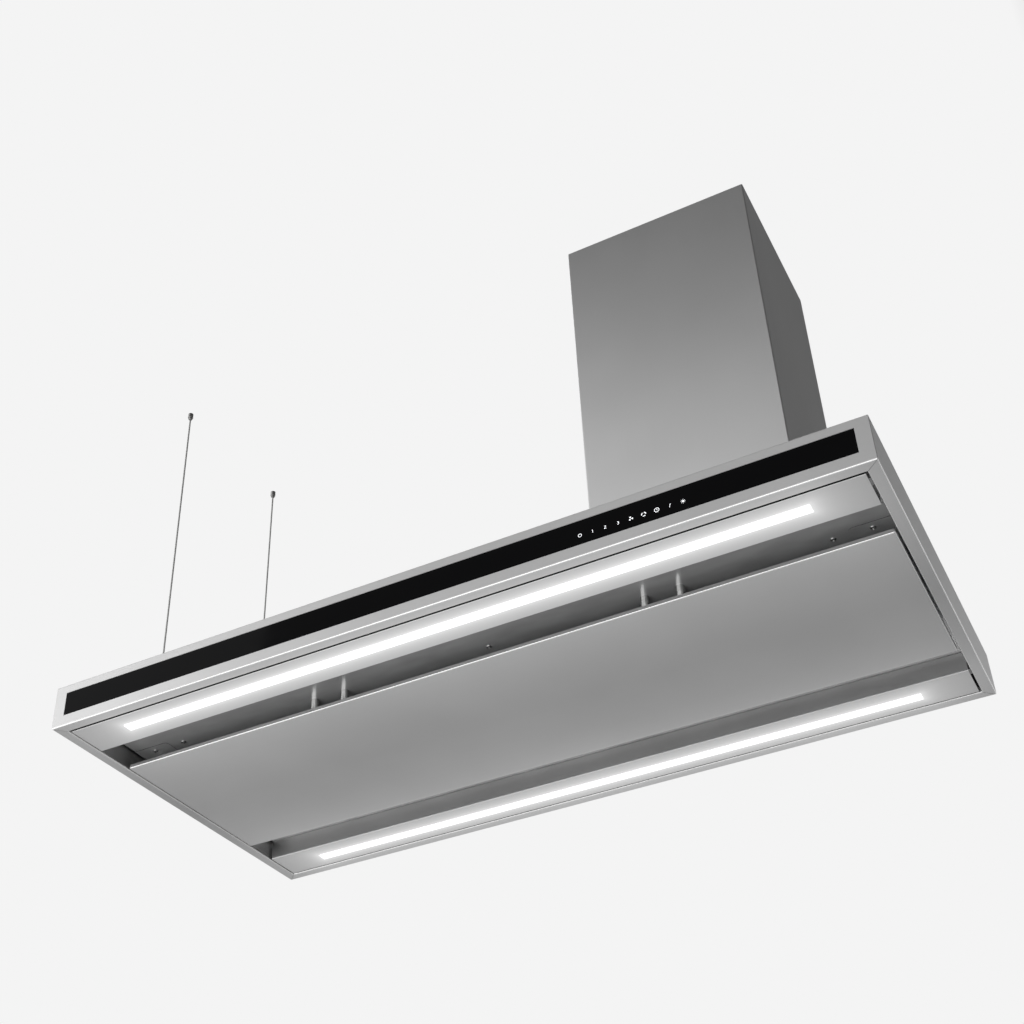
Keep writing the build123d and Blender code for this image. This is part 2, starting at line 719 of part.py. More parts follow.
# Frame inside the chimney: base ring on the canopy, four slotted angle posts, bracket on the ceiling
bolt_y = frame_y - post_leg / 2
rail_bolt_height = rail_height + frame_wall + bolt_head_radius + 2
post_foot = frame_base + frame_plate
post_head = hang_drop - frame_plate
bolt_heights = [post_foot + frame_skirt / 2, rail_bolt_height, post_head - frame_skirt / 2]
side_plane = Plane((0, 0, underside_z), x_dir=(0, 1, 0), z_dir=(1, 0, 0))
bolt_places = [(side * bolt_y, height) for height in bolt_heights for side in (-1, 1)]


def frame_ring(plate_level, turn, hole_radius):
    """Frame plate with its opening and a skirt that turns up (1) or down (-1) inside the posts."""
    skirt_x = frame_x - frame_wall
    skirt_y = frame_y - frame_wall
    with BuildPart() as ring:
        with BuildSketch(stack(plate_level)):
            Rectangle(2 * frame_x, 2 * frame_y)
            Rectangle(bracket_opening_x, bracket_opening_y, mode=Mode.SUBTRACT)
            with Locations(*plate_hole_places):
                Circle(hole_radius, mode=Mode.SUBTRACT)
        extrude(amount=-turn * frame_plate)
        with BuildSketch(stack(plate_level)):
            Rectangle(2 * skirt_x, 2 * skirt_y)
            Rectangle(2 * (skirt_x - frame_wall), 2 * (skirt_y - frame_wall), mode=Mode.SUBTRACT)
        extrude(amount=turn * frame_skirt)
        with BuildSketch(side_plane):
            with Locations(*bolt_places):
                Circle(bolt_radius + running_gap)
        extrude(amount=frame_x, both=True, mode=Mode.SUBTRACT)
    return ring


save(frame_ring(post_foot, 1, bolt_radius + running_gap), "base_frame")
save(frame_ring(post_head, -1, ceiling_hole_radius), "ceiling_bracket")

slot_first = rail_bolt_height + 4 * bolt_head_radius
slot_pitch = (bolt_heights[2] - slot_first) / post_slot_count
slot_rows = [slot_first + slot_pitch * step for step in range(post_slot_count)]
slot_places = [(side * bolt_y, row) for row in slot_rows for side in (-1, 1)]
with BuildPart() as frame_posts:
    with BuildSketch(stack(post_foot)):
        Rectangle(2 * frame_x, 2 * frame_y)
        Rectangle(2 * (frame_x - frame_wall), 2 * (frame_y - frame_wall), mode=Mode.SUBTRACT)
        Rectangle(2 * (frame_x - post_leg), 2 * frame_y, mode=Mode.SUBTRACT)
        Rectangle(2 * frame_x, 2 * (frame_y - post_leg), mode=Mode.SUBTRACT)
    extrude(amount=post_head - post_foot)
    with BuildSketch(side_plane):
        with Locations(*slot_places):
            SlotOverall(post_slot_length, post_slot_width, rotation=90)
        with Locations(*bolt_places):
            Circle(bolt_radius + running_gap)
    extrude(amount=frame_x, both=True, mode=Mode.SUBTRACT)
    with BuildSketch(rear_face):
        with Locations(*cover_screw_places):
            Circle(stud_radius + running_gap)
    extrude(amount=stud_length + sheet, mode=Mode.SUBTRACT)
save(frame_posts, "frame_posts")

# Blower rails between the posts, with grommets under the feet of the scroll
foot_height = rail_height + frame_wall + grommet_height
rail_end = frame_x - frame_wall
rail_y = frame_y - frame_wall - frame_gap - rail_width / 2
foot_half = impeller_radius * 0.75
grommet_x = foot_half - 2 * grommet_radius
grommet_places = [(blower_x + end * grommet_x, side * rail_y) for end in (-1, 1) for side in (-1, 1)]
with BuildPart() as blower_rails:
    for side in (-1, 1):
        with BuildSketch(stack(rail_height)):
            with Locations((0, side * rail_y)):
                Rectangle(2 * rail_end, rail_width)
        extrude(amount=frame_wall)
        for end in (-1, 1):
            with BuildSketch(stack(rail_height)):
                with Locations((end * (rail_end - frame_wall / 2), side * rail_y)):
                    Rectangle(frame_wall, rail_width)
            extrude(amount=frame_wall + 2 * bolt_head_radius + 4)
    with BuildSketch(stack(rail_height)):
        with Locations(*grommet_places):
            Circle(bolt_radius + running_gap)
    extrude(amount=frame_wall, mode=Mode.SUBTRACT)
    with BuildSketch(side_plane):
        with Locations(*bolt_places):
            Circle(bolt_radius + running_gap)
    extrude(amount=frame_x, both=True, mode=Mode.SUBTRACT)
save(blower_rails, "blower_rails")

with BuildPart() as blower_grommets:
    with BuildSketch(stack(rail_height + frame_wall)):
        with Locations(*grommet_places):
            Circle(grommet_radius)
            Circle(bolt_radius + running_gap, mode=Mode.SUBTRACT)
    extrude(amount=grommet_height)
save(blower_grommets, "blower_grommets")

# Hex bolts of the frame and of the blower feet
with BuildPart() as hex_bolts:
    for side in (-1, 1):
        with BuildSketch(side_plane.offset(side * frame_x)):
            with Locations(*bolt_places):
                Circle(bolt_radius)
        extrude(amount=-side * 2 * frame_wall)
        with BuildSketch(side_plane.offset(side * (frame_x - 2 * frame_wall))):
            with Locations(*bolt_places):
                RegularPolygon(bolt_head_radius, 6)
        extrude(amount=-side * bolt_head_height)
    with BuildSketch(stack(foot_height + foot_thickness)):
        with Locations(*grommet_places):
            RegularPolygon(bolt_head_radius, 6)
    extrude(amount=bolt_head_height)
    with BuildSketch(stack(foot_height + foot_thickness)):
        with Locations(*grommet_places):
            Circle(bolt_radius)
    extrude(amount=-foot_thickness - grommet_height - 2 * frame_wall)
    with BuildSketch(stack(post_foot)):
        with Locations(*plate_hole_places):
            RegularPolygon(bolt_head_radius, 6)
    extrude(amount=bolt_head_height)
    with BuildSketch(stack(post_foot)):
        with Locations(*plate_hole_places):
            Circle(bolt_radius)
    extrude(amount=-frame_plate - 2 * frame_wall)
save(hex_bolts, "hex_bolts")


# Scroll: a volute of three quarter arcs that grow by one step each, ending in a straight outlet
def scroll_outline(offset_y, rise, grow):
    """Outline of the air passage on a plane square to the shaft, grown outwards by a sheet thickness."""
    second = volute_start + volute_step
    third = volute_start + 2 * volute_step
    bite = 0.5 ** 0.5
    with BuildSketch(shaft_plane(offset_y)) as outline:
        with BuildLine():
            tongue = (0, volute_start)
            left = (-volute_start, 0)
            low = (volute_step, -second)
            right = (outlet_width, volute_step)
            ThreePointArc(tongue, (-volute_start * bite, volute_start * bite), left)
            ThreePointArc(left, (volute_step - second * bite, -second * bite), low)
            ThreePointArc(low, (volute_step + third * bite, volute_step - third * bite), right)
            Polyline(right, (outlet_width, rise), (0, rise), tongue)
        make_face()
        if grow:
            offset(amount=grow, kind=Kind.INTERSECTION)
    return outline.sketch


wrap_outer = scroll_outline(casing_width / 2, outlet_rise - sheet, sheet)
wrap_inner = scroll_outline(casing_width / 2, outlet_rise + sheet, 0)
with BuildPart() as scroll_wrap:
    extrude(wrap_outer, amount=-casing_width)
    extrude(wrap_inner, amount=-casing_width, mode=Mode.SUBTRACT)
save(scroll_wrap, "scroll_wrap")

shaft_axis = Axis((blower_x, 0, underside_z + blower_axis), (0, 1, 0))
inlet_plane = Plane((blower_x, 0, underside_z + blower_axis))
mouth_radius = inlet_radius + inlet_flare
casing_half = casing_width / 2
for face_name, side in (("front", -1), ("rear", 1)):
    plate_outline = scroll_outline(-side * casing_half, outlet_rise - sheet, sheet)
    with BuildPart() as side_plate:
        extrude(plate_outline, amount=-side * sheet)
        with BuildSketch(shaft_plane(-side * casing_half)):
            Rectangle(2 * foot_half, blower_axis - foot_height, align=(Align.CENTER, Align.MAX))
        extrude(amount=-side * sheet)
        with BuildSketch(shaft_plane(-side * casing_half)):
            Circle(mouth_radius)
        extrude(amount=-side * sheet, mode=Mode.SUBTRACT)
        with BuildSketch(stack(foot_height)):
            with Locations((blower_x, side * casing_half)):
                Rectangle(2 * foot_half, 2 * (rail_y + grommet_radius - casing_half))
            with Locations((blower_x, 0)):
                Rectangle(2 * foot_half, casing_width, mode=Mode.SUBTRACT)
            with Locations(*grommet_places):
                Circle(bolt_radius + running_gap, mode=Mode.SUBTRACT)
        extrude(amount=foot_thickness)
        with BuildSketch(inlet_plane):
            with Locations((mouth_radius, side * (casing_half + sheet - inlet_flare))):
                Circle(inlet_flare)
                Circle(inlet_flare - sheet, mode=Mode.SUBTRACT)
                Rectangle(inlet_flare, inlet_flare, mode=Mode.INTERSECT,
                          align=(Align.MAX, Align.MIN if side > 0 else Align.MAX))
        revolve(axis=shaft_axis)
    save(side_plate, f"scroll_{face_name}_plate")

# Impeller: forward-curved blades through a centre disc, tied by two end rings, on the motor's shaft
blade_root = impeller_radius - blade_depth
hub_radius = 3 * shaft_radius
with BuildSketch() as blade:
    with BuildLine():
        convex = CenterArc((blade_root, blade_curve), blade_curve, -90, blade_sweep)
        concave = CenterArc((blade_root, blade_curve), blade_curve - blade_thickness, -90, blade_sweep)
        Line(convex @ 0, concave @ 0)
        Line(convex @ 1, concave @ 1)
    make_face()
with BuildPart() as impeller:
    with BuildSketch(shaft_plane()):
        with PolarLocations(0, blade_count):
            add(blade.sketch)
    extrude(amount=impeller_width / 2, both=True)
    with BuildSketch(shaft_plane()):
        Circle(impeller_radius - blade_thickness)
    extrude(amount=disc_thickness / 2, both=True)
    for end in (-1, 1):
        with BuildSketch(shaft_plane(end * impeller_width / 2)):
            Circle(impeller_radius)
            Circle(blade_root + blade_thickness, mode=Mode.SUBTRACT)
        extrude(amount=-end * disc_thickness)
    with BuildSketch(shaft_plane()):
        Circle(hub_radius)
    extrude(amount=hub_length)
    with BuildSketch(shaft_plane()):
        Circle(shaft_radius)
    extrude(amount=hub_length, both=True, mode=Mode.SUBTRACT)
save(impeller, "impeller")

motor_front = 3 * disc_thickness
motor_back = casing_half + sheet
with BuildPart() as motor_shaft:
    with BuildSketch(shaft_plane(hub_length + disc_thickness)):
        Circle(shaft_radius)
    extrude(amount=-(hub_length + disc_thickness + motor_back - 4 * disc_thickness))
save(motor_shaft, "motor_shaft")

with BuildPart() as motor:
    with BuildSketch(shaft_plane(-motor_back)):
        Circle(motor_radius)
    extrude(amount=motor_back - motor_front)
    fillet(motor.faces().sort_by(Axis.Y)[0].edges(), 2 * disc_thickness)
    with BuildSketch(shaft_plane(-motor_front)):
        Circle(shaft_radius + fit_gap)
    extrude(amount=-(motor_back - motor_front - 2 * disc_thickness), mode=Mode.SUBTRACT)
save(motor, "motor")

arm_width = 14.0
with BuildPart() as motor_bracket:
    with BuildSketch(shaft_plane(-motor_back)):
        Circle(motor_radius / 2)
        with PolarLocations(0, 3, start_angle=90):
            Rectangle(mouth_radius + arm_width / 2, arm_width, align=(Align.MIN, Align.CENTER))
    extrude(amount=-frame_wall)
save(motor_bracket, "motor_bracket")

capacitor_x = outlet_width / 4
capacitor_y = motor_back + capacitor_radius
with BuildPart() as capacitor:
    with BuildSketch(stack(blower_axis + capacitor_height / 3)):
        with Locations((capacitor_x, capacitor_y)):
            Circle(capacitor_radius)
        with Locations((capacitor_x, motor_back)):
            Rectangle(capacitor_radius, capacitor_radius, align=(Align.CENTER, Align.MIN))
    extrude(amount=capacitor_height)
save(capacitor, "capacitor")

# Outlet collar with a stop ring and two flaps that share one pin
collar_inside = collar_radius - collar_wall
pin_plane = Plane((0, 0, underside_z + flap_height), x_dir=(1, 0, 0), z_dir=(0, -1, 0))
stop_top = flap_height - flap_thickness / 2 - running_gap
with BuildPart() as outlet_collar:
    with BuildSketch(stack(collar_base)):
        Rectangle(2 * collar_radius + 4, 2 * collar_radius + 4)
        with BuildSketch(mode=Mode.SUBTRACT):
            Rectangle(outlet_width, casing_width)
            Circle(collar_inside - stop_width, mode=Mode.INTERSECT)
    extrude(amount=-collar_plate)
    with BuildSketch(stack(collar_base)):
        Circle(collar_radius)
        Circle(collar_inside, mode=Mode.SUBTRACT)
    extrude(amount=collar_height)
    with BuildSketch(stack(stop_top)):
        Circle(collar_radius)
        Circle(collar_inside - stop_width, mode=Mode.SUBTRACT)
    extrude(amount=-stop_thickness)
    with BuildSketch(pin_plane):
        Circle(flap_pin_radius + running_gap)
    extrude(amount=collar_radius, both=True, mode=Mode.SUBTRACT)
save(outlet_collar, "outlet_collar")

with BuildPart() as flap_pin:
    with BuildSketch(pin_plane):
        Circle(flap_pin_radius)
    extrude(amount=collar_radius - fit_gap, both=True)
save(flap_pin, "flap_pin")

flap_radius = collar_inside - stop_width / 2
for hand, side, barrel_y in (("left", -1, flap_barrel_length), ("right", 1, 2 * flap_barrel_length + 2)):
    with BuildPart() as flap:
        with BuildSketch(stack(flap_height)):
            Circle(flap_radius)
            with Locations((side * flap_split, 0)):
                Rectangle(2 * flap_radius, 2 * flap_radius, mode=Mode.INTERSECT,
                          align=(Align.MIN if side > 0 else Align.MAX, Align.CENTER))
        extrude(amount=flap_thickness / 2, both=True)
        for end in (-1, 1):
            with BuildSketch(stack(flap_height)):
                with Locations((0, end * barrel_y)):
                    Rectangle(2 * flap_split, flap_barrel_length - 2)
                    with Locations((-side * flap_split / 2, 0)):
                        Rectangle(flap_split, flap_barrel_length, mode=Mode.SUBTRACT)
            extrude(amount=flap_thickness / 2, both=True)
            with BuildSketch(pin_plane.offset(end * barrel_y)):
                Circle(flap_barrel_radius)
            extrude(amount=flap_barrel_length / 2 - 1, both=True)
        with BuildSketch(pin_plane):
            Circle(flap_pin_radius + 2 * running_gap)
        extrude(amount=collar_radius, both=True, mode=Mode.SUBTRACT)
    save(flap, f"flap_{hand}")

# Suspension: two taut wires between ceiling anchors and the grippers on the top plate
wire_places = [(wire_x, side * wire_spread / 2) for side in (-1, 1)]
wire_seat = anchor_height - anchor_thread_depth - 2
plunger_out = plunger_height / 2
gripper_top = frame_base + gripper_height
with BuildPart() as ceiling_anchors:
    with BuildSketch(level(hang_drop)):
        with Locations(*wire_places):
            Circle(anchor_radius)
    extrude(amount=-anchor_height)
    with BuildSketch(level(hang_drop)):
        with Locations(*wire_places):
            Circle(anchor_thread_radius)
    extrude(amount=-anchor_thread_depth, mode=Mode.SUBTRACT)
    with BuildSketch(level(hang_drop - anchor_height)):
        with Locations(*wire_places):
            Circle(wire_radius + running_gap)
    extrude(amount=wire_seat, mode=Mode.SUBTRACT)
save(ceiling_anchors, "ceiling_anchors")

with BuildPart() as wire_grippers:
    with BuildSketch(level(top_plate_height)):
        with Locations(*wire_places):
            RegularPolygon(gripper_nut_radius, 6)
    extrude(amount=-gripper_nut_height)
    with BuildSketch(level(top_plate_height)):
        with Locations(*wire_places):
            Circle(gripper_radius)
    extrude(amount=gripper_top - top_plate_height)
    with BuildSketch(level(top_plate_height - gripper_nut_height)):
        with Locations(*wire_places):
            Circle(wire_radius + 2 * running_gap)
    extrude(amount=gripper_top - top_plate_height + gripper_nut_height, mode=Mode.SUBTRACT)
    with BuildSketch(level(gripper_top)):
        with Locations(*wire_places):
            Circle(plunger_radius + 2 * running_gap)
    extrude(amount=-(plunger_height - plunger_out + plunger_travel + fit_gap), mode=Mode.SUBTRACT)
save(wire_grippers, "wire_grippers")

for end_name, place in zip(("front", "rear"), wire_places):
    with BuildPart() as wire:
        with BuildSketch(level(hang_drop - anchor_height + wire_seat)):
            with Locations(place):
                Circle(wire_radius)
        extrude(amount=-(hang_drop - anchor_height + wire_seat - top_plate_height + wire_tail))
    save(wire, f"wire_{end_name}")

    with BuildPart() as plunger:
        with BuildSketch(level(gripper_top + plunger_out)):
            with Locations(place):
                Circle(plunger_radius)
                Circle(wire_radius + 2 * running_gap, mode=Mode.SUBTRACT)
        extrude(amount=-plunger_height)
    save(plunger, f"gripper_plunger_{end_name}")
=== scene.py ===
"""Looks of an island range hood: a flat stainless canopy under a square chimney, with wires at its far end.

Run as a script, it dresses the CAD frame with finishes, adds the small pieces that the solids leave out, and
sets up a plain studio. Lengths are metres in the frame's own axes; names that end in _mm are millimetres.
"""

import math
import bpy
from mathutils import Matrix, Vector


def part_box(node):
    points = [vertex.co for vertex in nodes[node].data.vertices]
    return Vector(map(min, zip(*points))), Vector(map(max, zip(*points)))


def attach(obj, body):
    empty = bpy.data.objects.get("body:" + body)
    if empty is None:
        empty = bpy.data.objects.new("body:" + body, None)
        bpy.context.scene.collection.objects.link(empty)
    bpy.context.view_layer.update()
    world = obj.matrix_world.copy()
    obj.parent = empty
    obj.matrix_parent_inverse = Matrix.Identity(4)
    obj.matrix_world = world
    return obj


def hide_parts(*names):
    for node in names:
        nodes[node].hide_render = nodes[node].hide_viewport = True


bl_info = {
    "name": "Island hood looks",
    "version": (1, 0, 0),
    "blender": (4, 5, 0),
    "location": "3D View > Sidebar > Hood",
    "description": "Finishes, small pieces and studio of an island range hood",
    "category": "Object",
}

import bmesh
import bpy
from bpy.props import FloatProperty, FloatVectorProperty, IntProperty, PointerProperty, StringProperty
from mathutils import Matrix, Vector

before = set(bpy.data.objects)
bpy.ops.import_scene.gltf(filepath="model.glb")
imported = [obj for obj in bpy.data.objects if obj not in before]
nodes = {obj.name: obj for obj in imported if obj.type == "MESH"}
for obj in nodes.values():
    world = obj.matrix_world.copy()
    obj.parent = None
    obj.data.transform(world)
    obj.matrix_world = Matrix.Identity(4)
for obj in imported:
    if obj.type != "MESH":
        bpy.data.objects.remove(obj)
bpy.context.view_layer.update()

MM = 0.001
# Most values of a noise lie in this span, which a Map Range node spreads out
NOISE_SPAN = {"From_Min": 0.3, "From_Max": 0.7}
# Height of a digit on the grid of the touch symbols
DIGIT_GRID = 5

# Places read from the frame
canopy_low, canopy_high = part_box("front_fascia")
rim_z = canopy_low.z
canopy_centre_x = (canopy_low.x + canopy_high.x) / 2
glass_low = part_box("control_glass")[0]
touch_low, touch_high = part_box("touch_board")


class HoodFinishes(bpy.types.PropertyGroup):
    """Colours and light that a user would change."""

    brushed_steel: StringProperty(
        name="Brushed steel", description="Face colour of the brushed stainless sheet", default="#C6C6C6")
    tray_steel: StringProperty(
        name="Tray steel", description="Face colour of the bright tray above the slots", default="#ECECEC")
    zinc: StringProperty(name="Zinc", description="Colour of the galvanised frame", default="#B4B8BA")
    aluminium: StringProperty(name="Aluminium", description="Colour of the grease filters", default="#D2D3D5")
    plated: StringProperty(name="Plating", description="Colour of nickel-plated fasteners", default="#C8C8C7")
    glass: StringProperty(
        name="Black glass", description="Back print of the control glass", default="#020203")
    opal: StringProperty(name="Opal acrylic", description="Colour of the lit diffusers", default="#FFFFFF")
    symbols: StringProperty(name="Symbols", description="Colour of the lit touch symbols", default="#F4F6F8")
    black_plastic: StringProperty(name="Black plastic", description="Moulded housings", default="#17181A")
    board: StringProperty(name="Board", description="White solder mask of the boards", default="#E8EAE6")
    enamel: StringProperty(name="Motor enamel", description="Paint on the motor", default="#1B1C1F")
    # The rubber colour also paints the black shade on the light channels' outer flanges and the end plates'
    # edges
    rubber: StringProperty(name="Rubber", description="Grommets and sealing tape", default="#141414")
    case: StringProperty(name="Driver case", description="Case of the light driver", default="#DDDDD9")
    light_strength: FloatProperty(
        name="Light strength", description="Brightness of the diffusers, where 1 is white", default=1.3,
        min=0.0)
    # The glow values below set a painted glow: emission on the metal by the strips that stands in for their
    # light
    glow_near_mm: FloatProperty(
        name="Near glow reach", description="Reach of the glow at a strip's edge, in millimetres",
        default=11.0, min=1.0)
    glow_near: FloatProperty(
        name="Near glow", description="Brightness of the glow at a strip's edge", default=0.3, min=0.0)
    glow_far_mm: FloatProperty(
        name="Far glow reach", description="Reach of the wide, weak glow, in millimetres",
        default=85.0, min=1.0)
    glow_far: FloatProperty(
        name="Far glow", description="Brightness of the wide glow at a strip's edge", default=0.28, min=0.0)


class HoodSizes(bpy.types.PropertyGroup):
    """Sizes of the pieces that are added to the solids."""

    symbol_pitch: FloatProperty(
        name="Symbol pitch", description="Distance between touch symbols", default=17.1 * MM,
        subtype="DISTANCE")
    symbol_height: FloatProperty(
        name="Symbol height", description="Height of a digit", default=4.5 * MM, subtype="DISTANCE")
    symbol_drop: FloatProperty(
        name="Symbol drop", description="Symbols below the middle of the touch board", default=4.5 * MM,
        subtype="DISTANCE")
    symbol_print: FloatProperty(
        name="Print height", description="Height of the print on the glass", default=0.05 * MM,
        subtype="DISTANCE")
    strand_count: IntProperty(name="Strands", description="Outer strands of a wire rope", default=6, min=3)
    rope_lay: FloatProperty(
        name="Lay length", description="Length of one turn of the strands", default=20 * MM,
        subtype="DISTANCE")
    mesh_diamond: FloatProperty(
        name="Mesh diamond", description="Long way of one diamond in the filter layers", default=11 * MM,
        subtype="DISTANCE")
    screw_recess: FloatProperty(
        name="Recess width", description="Width of the cross recess in a screw head", default=1.1 * MM,
        subtype="DISTANCE")


class HoodStudio(bpy.types.PropertyGroup):
    """Camera, floor and light."""

    camera_place: FloatVectorProperty(
        name="Camera place", description="Where the camera stands", default=(0.4816, -1.6865, -1.8013),
        subtype="TRANSLATION")
    camera_direction: FloatVectorProperty(
        name="Camera direction", description="Where the camera looks", default=(-0.3559, 0.7341, 0.5783),
        subtype="DIRECTION")
    camera_roll: FloatProperty(
        name="Camera roll", description="Turn about the line of sight", default=math.radians(-2.49),
        subtype="ANGLE")
    lens: FloatProperty(
        name="Lens", description="Focal length on a 36 mm sensor", default=53.46, unit="CAMERA")
    shift_up: FloatProperty(name="Vertical shift", description="Share of the frame's width", default=0.0645)
    floor_drop: FloatProperty(
        name="Floor drop", description="Floor below the canopy's rim", default=1.65, subtype="DISTANCE")
    floor_colour: StringProperty(name="Floor", description="Colour of the floor", default="#D8D8D8")
    walls: StringProperty(name="Walls", description="Light of the studio's pale walls", default="#F4F4F4")
    ceiling: StringProperty(
        name="Ceiling", description="Light of the dim ceiling in front and on the right", default="#5E5E5E")
    key_power: FloatProperty(
        name="Key light", description="Power of the soft light in front on the left", default=42.0,
        unit="POWER")
    top_power: FloatProperty(
        name="Top light", description="Power of the soft light above the floor behind", default=25.0,
        unit="POWER")
    low_power: FloatProperty(
        name="Low light", description="Power of the soft light near the floor in front", default=22.0,
        unit="POWER")


def linear(hex_colour):
    """An sRGB hex colour as linear red, green, blue and alpha."""
    parts = [int(hex_colour[i:i + 2], 16) / 255 for i in (1, 3, 5)]
    return [c / 12.92 if c <= 0.04045 else ((c + 0.055) / 1.055) ** 2.4 for c in parts] + [1.0]


def shade(hex_colour, factor):
    """A hex colour made darker or lighter by a factor."""
    parts = [min(255, round(int(hex_colour[i:i + 2], 16) * factor)) for i in (1, 3, 5)]
    return "#" + "".join(f"{part:02X}" for part in parts)


def per_mm(*sizes_mm):
    """Scales of a pattern whose grains have the given sizes in millimetres."""
    return [1 / (size * MM) for size in sizes_mm]


def add_node(tree, kind, settings=None, **inputs):
    """Adds a node with its settings and inputs.

    An input goes by its name, or by its place as in i1. It takes a value, a socket, or a node, which is
    linked by its first output.
    """
    made = tree.nodes.new(kind)
    for name, value in (settings or {}).items():
        setattr(made, name, value)
    for name, value in inputs.items():
        if name[1:].isdigit():
            socket = made.inputs[int(name[1:])]
        else:
            label = name.replace("_", " ")
            socket = next(each for each in made.inputs if each.enabled and each.name == label)
        if isinstance(value, bpy.types.Node):
            value = next(each for each in value.outputs if each.enabled)
        if isinstance(value, bpy.types.NodeSocket):
            tree.links.new(value, socket)
        else:
            socket.default_value = value
    return made


def new_material(name):
    """An empty node material, as (material, node tree, place on the piece)."""
    material = bpy.data.materials.new(name)
    material.use_nodes = True
    tree = material.node_tree
    tree.nodes.clear()
    return material, tree, add_node(tree, "ShaderNodeTexCoord").outputs["Object"]


def painted_strip_glow(tree, place, finish):
    """Painted glow: emission on the metal around the two strips that stands in for their light, bright at
    their edges, weak further out.

    Front and rear strip lie alike about the middle, so the distance is taken to the nearer one.
    """
    low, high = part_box("rear_light_diffuser")
    hidden_border = 4.0 * MM
    middle = (low + high) / 2
    half = (high - low) / 2
    axes = add_node(tree, "ShaderNodeSeparateXYZ", Vector=place)
    along = add_node(tree, "ShaderNodeMath", {"operation": "SUBTRACT"}, i0=axes.outputs["X"], i1=middle.x)
    depth = add_node(tree, "ShaderNodeMath", {"operation": "ABSOLUTE"}, i0=axes.outputs["Y"])
    across = add_node(tree, "ShaderNodeMath", {"operation": "SUBTRACT"}, i0=depth, i1=middle.y)
    gaps = []
    for offset, reach in ((along, half.x), (across, half.y)):
        apart = add_node(tree, "ShaderNodeMath", {"operation": "ABSOLUTE"}, i0=offset)
        past = add_node(tree, "ShaderNodeMath", {"operation": "SUBTRACT"}, i0=apart, i1=reach - hidden_border)
        gaps.append(add_node(tree, "ShaderNodeMath", {"operation": "MAXIMUM"}, i0=past, i1=0.0))
    flat = add_node(tree, "ShaderNodeCombineXYZ", X=gaps[0], Y=gaps[1])
    distance = add_node(tree, "ShaderNodeVectorMath", {"operation": "LENGTH"}, Vector=flat)
    fades = []
    near = (finish.glow_near_mm, finish.glow_near)
    far = (finish.glow_far_mm, finish.glow_far)
    for reach_mm, strength in (near, far):
        decay = add_node(tree, "ShaderNodeMath", {"operation": "MULTIPLY"}, i0=distance,
                         i1=-1 / (reach_mm * MM))
        fade = add_node(tree, "ShaderNodeMath", {"operation": "EXPONENT"}, i0=decay)
        fades.append(add_node(tree, "ShaderNodeMath", {"operation": "MULTIPLY"}, i0=fade, i1=strength))
    both = add_node(tree, "ShaderNodeMath", {"operation": "ADD"}, i0=fades[0], i1=fades[1])
    normal = add_node(tree, "ShaderNodeTexCoord").outputs["Normal"]
    facing = add_node(tree, "ShaderNodeSeparateXYZ", Vector=normal)
    down = add_node(tree, "ShaderNodeMapRange", Value=facing.outputs["Z"], From_Min=-0.5, From_Max=-1.0)
    return add_node(tree, "ShaderNodeMath", {"operation": "MULTIPLY"}, i0=both, i1=down)


def brushed_stainless(name, colour, grain_mm, rough=(0.32, 0.38), stretch=0.8, painted_glow_finish=None):
    """Stainless sheet brushed one way: reflections drawn out across the grain and broken into fine lines.

    Real scratches are some hundredths of a millimetre wide. They are drawn a millimetre wide, to show.
    """
    material, tree, place = new_material(name)
    lines = add_node(tree, "ShaderNodeMapping", Vector=place, Scale=per_mm(*grain_mm))
    grain = add_node(tree, "ShaderNodeTexNoise", Vector=lines, Scale=1.0)
    cloud = add_node(tree, "ShaderNodeTexNoise", Vector=place, Scale=per_mm(240.0)[0])
    tone = add_node(tree, "ShaderNodeMapRange", Value=cloud, **NOISE_SPAN)
    base = add_node(tree, "ShaderNodeMix", {"data_type": "RGBA"}, Factor=tone, A=linear(shade(colour, 0.96)),
                    B=linear(colour))
    gloss = add_node(tree, "ShaderNodeMapRange", Value=grain, To_Min=rough[0], To_Max=rough[1], **NOISE_SPAN)
    scratch = add_node(tree, "ShaderNodeBump", Height=grain, Distance=0.02 * MM, Strength=0.1)
    brushing = add_node(tree, "ShaderNodeVectorTransform", {"convert_from": "OBJECT", "convert_to": "WORLD"},
                        Vector=[float(size == max(grain_mm)) for size in grain_mm])
    # Painted glow: white emission near the strips stands in for the light they throw on the metal
    glow = painted_strip_glow(tree, place, painted_glow_finish) if painted_glow_finish else 0.0
    shader = add_node(tree, "ShaderNodeBsdfPrincipled", Base_Color=base, Metallic=1.0, Roughness=gloss,
                      Anisotropic=stretch, Anisotropic_Rotation=0.25, Tangent=brushing, Normal=scratch,
                      Emission_Color=linear("#FFFFFF"), Emission_Strength=glow)
    add_node(tree, "ShaderNodeOutputMaterial", Surface=shader)
    return material


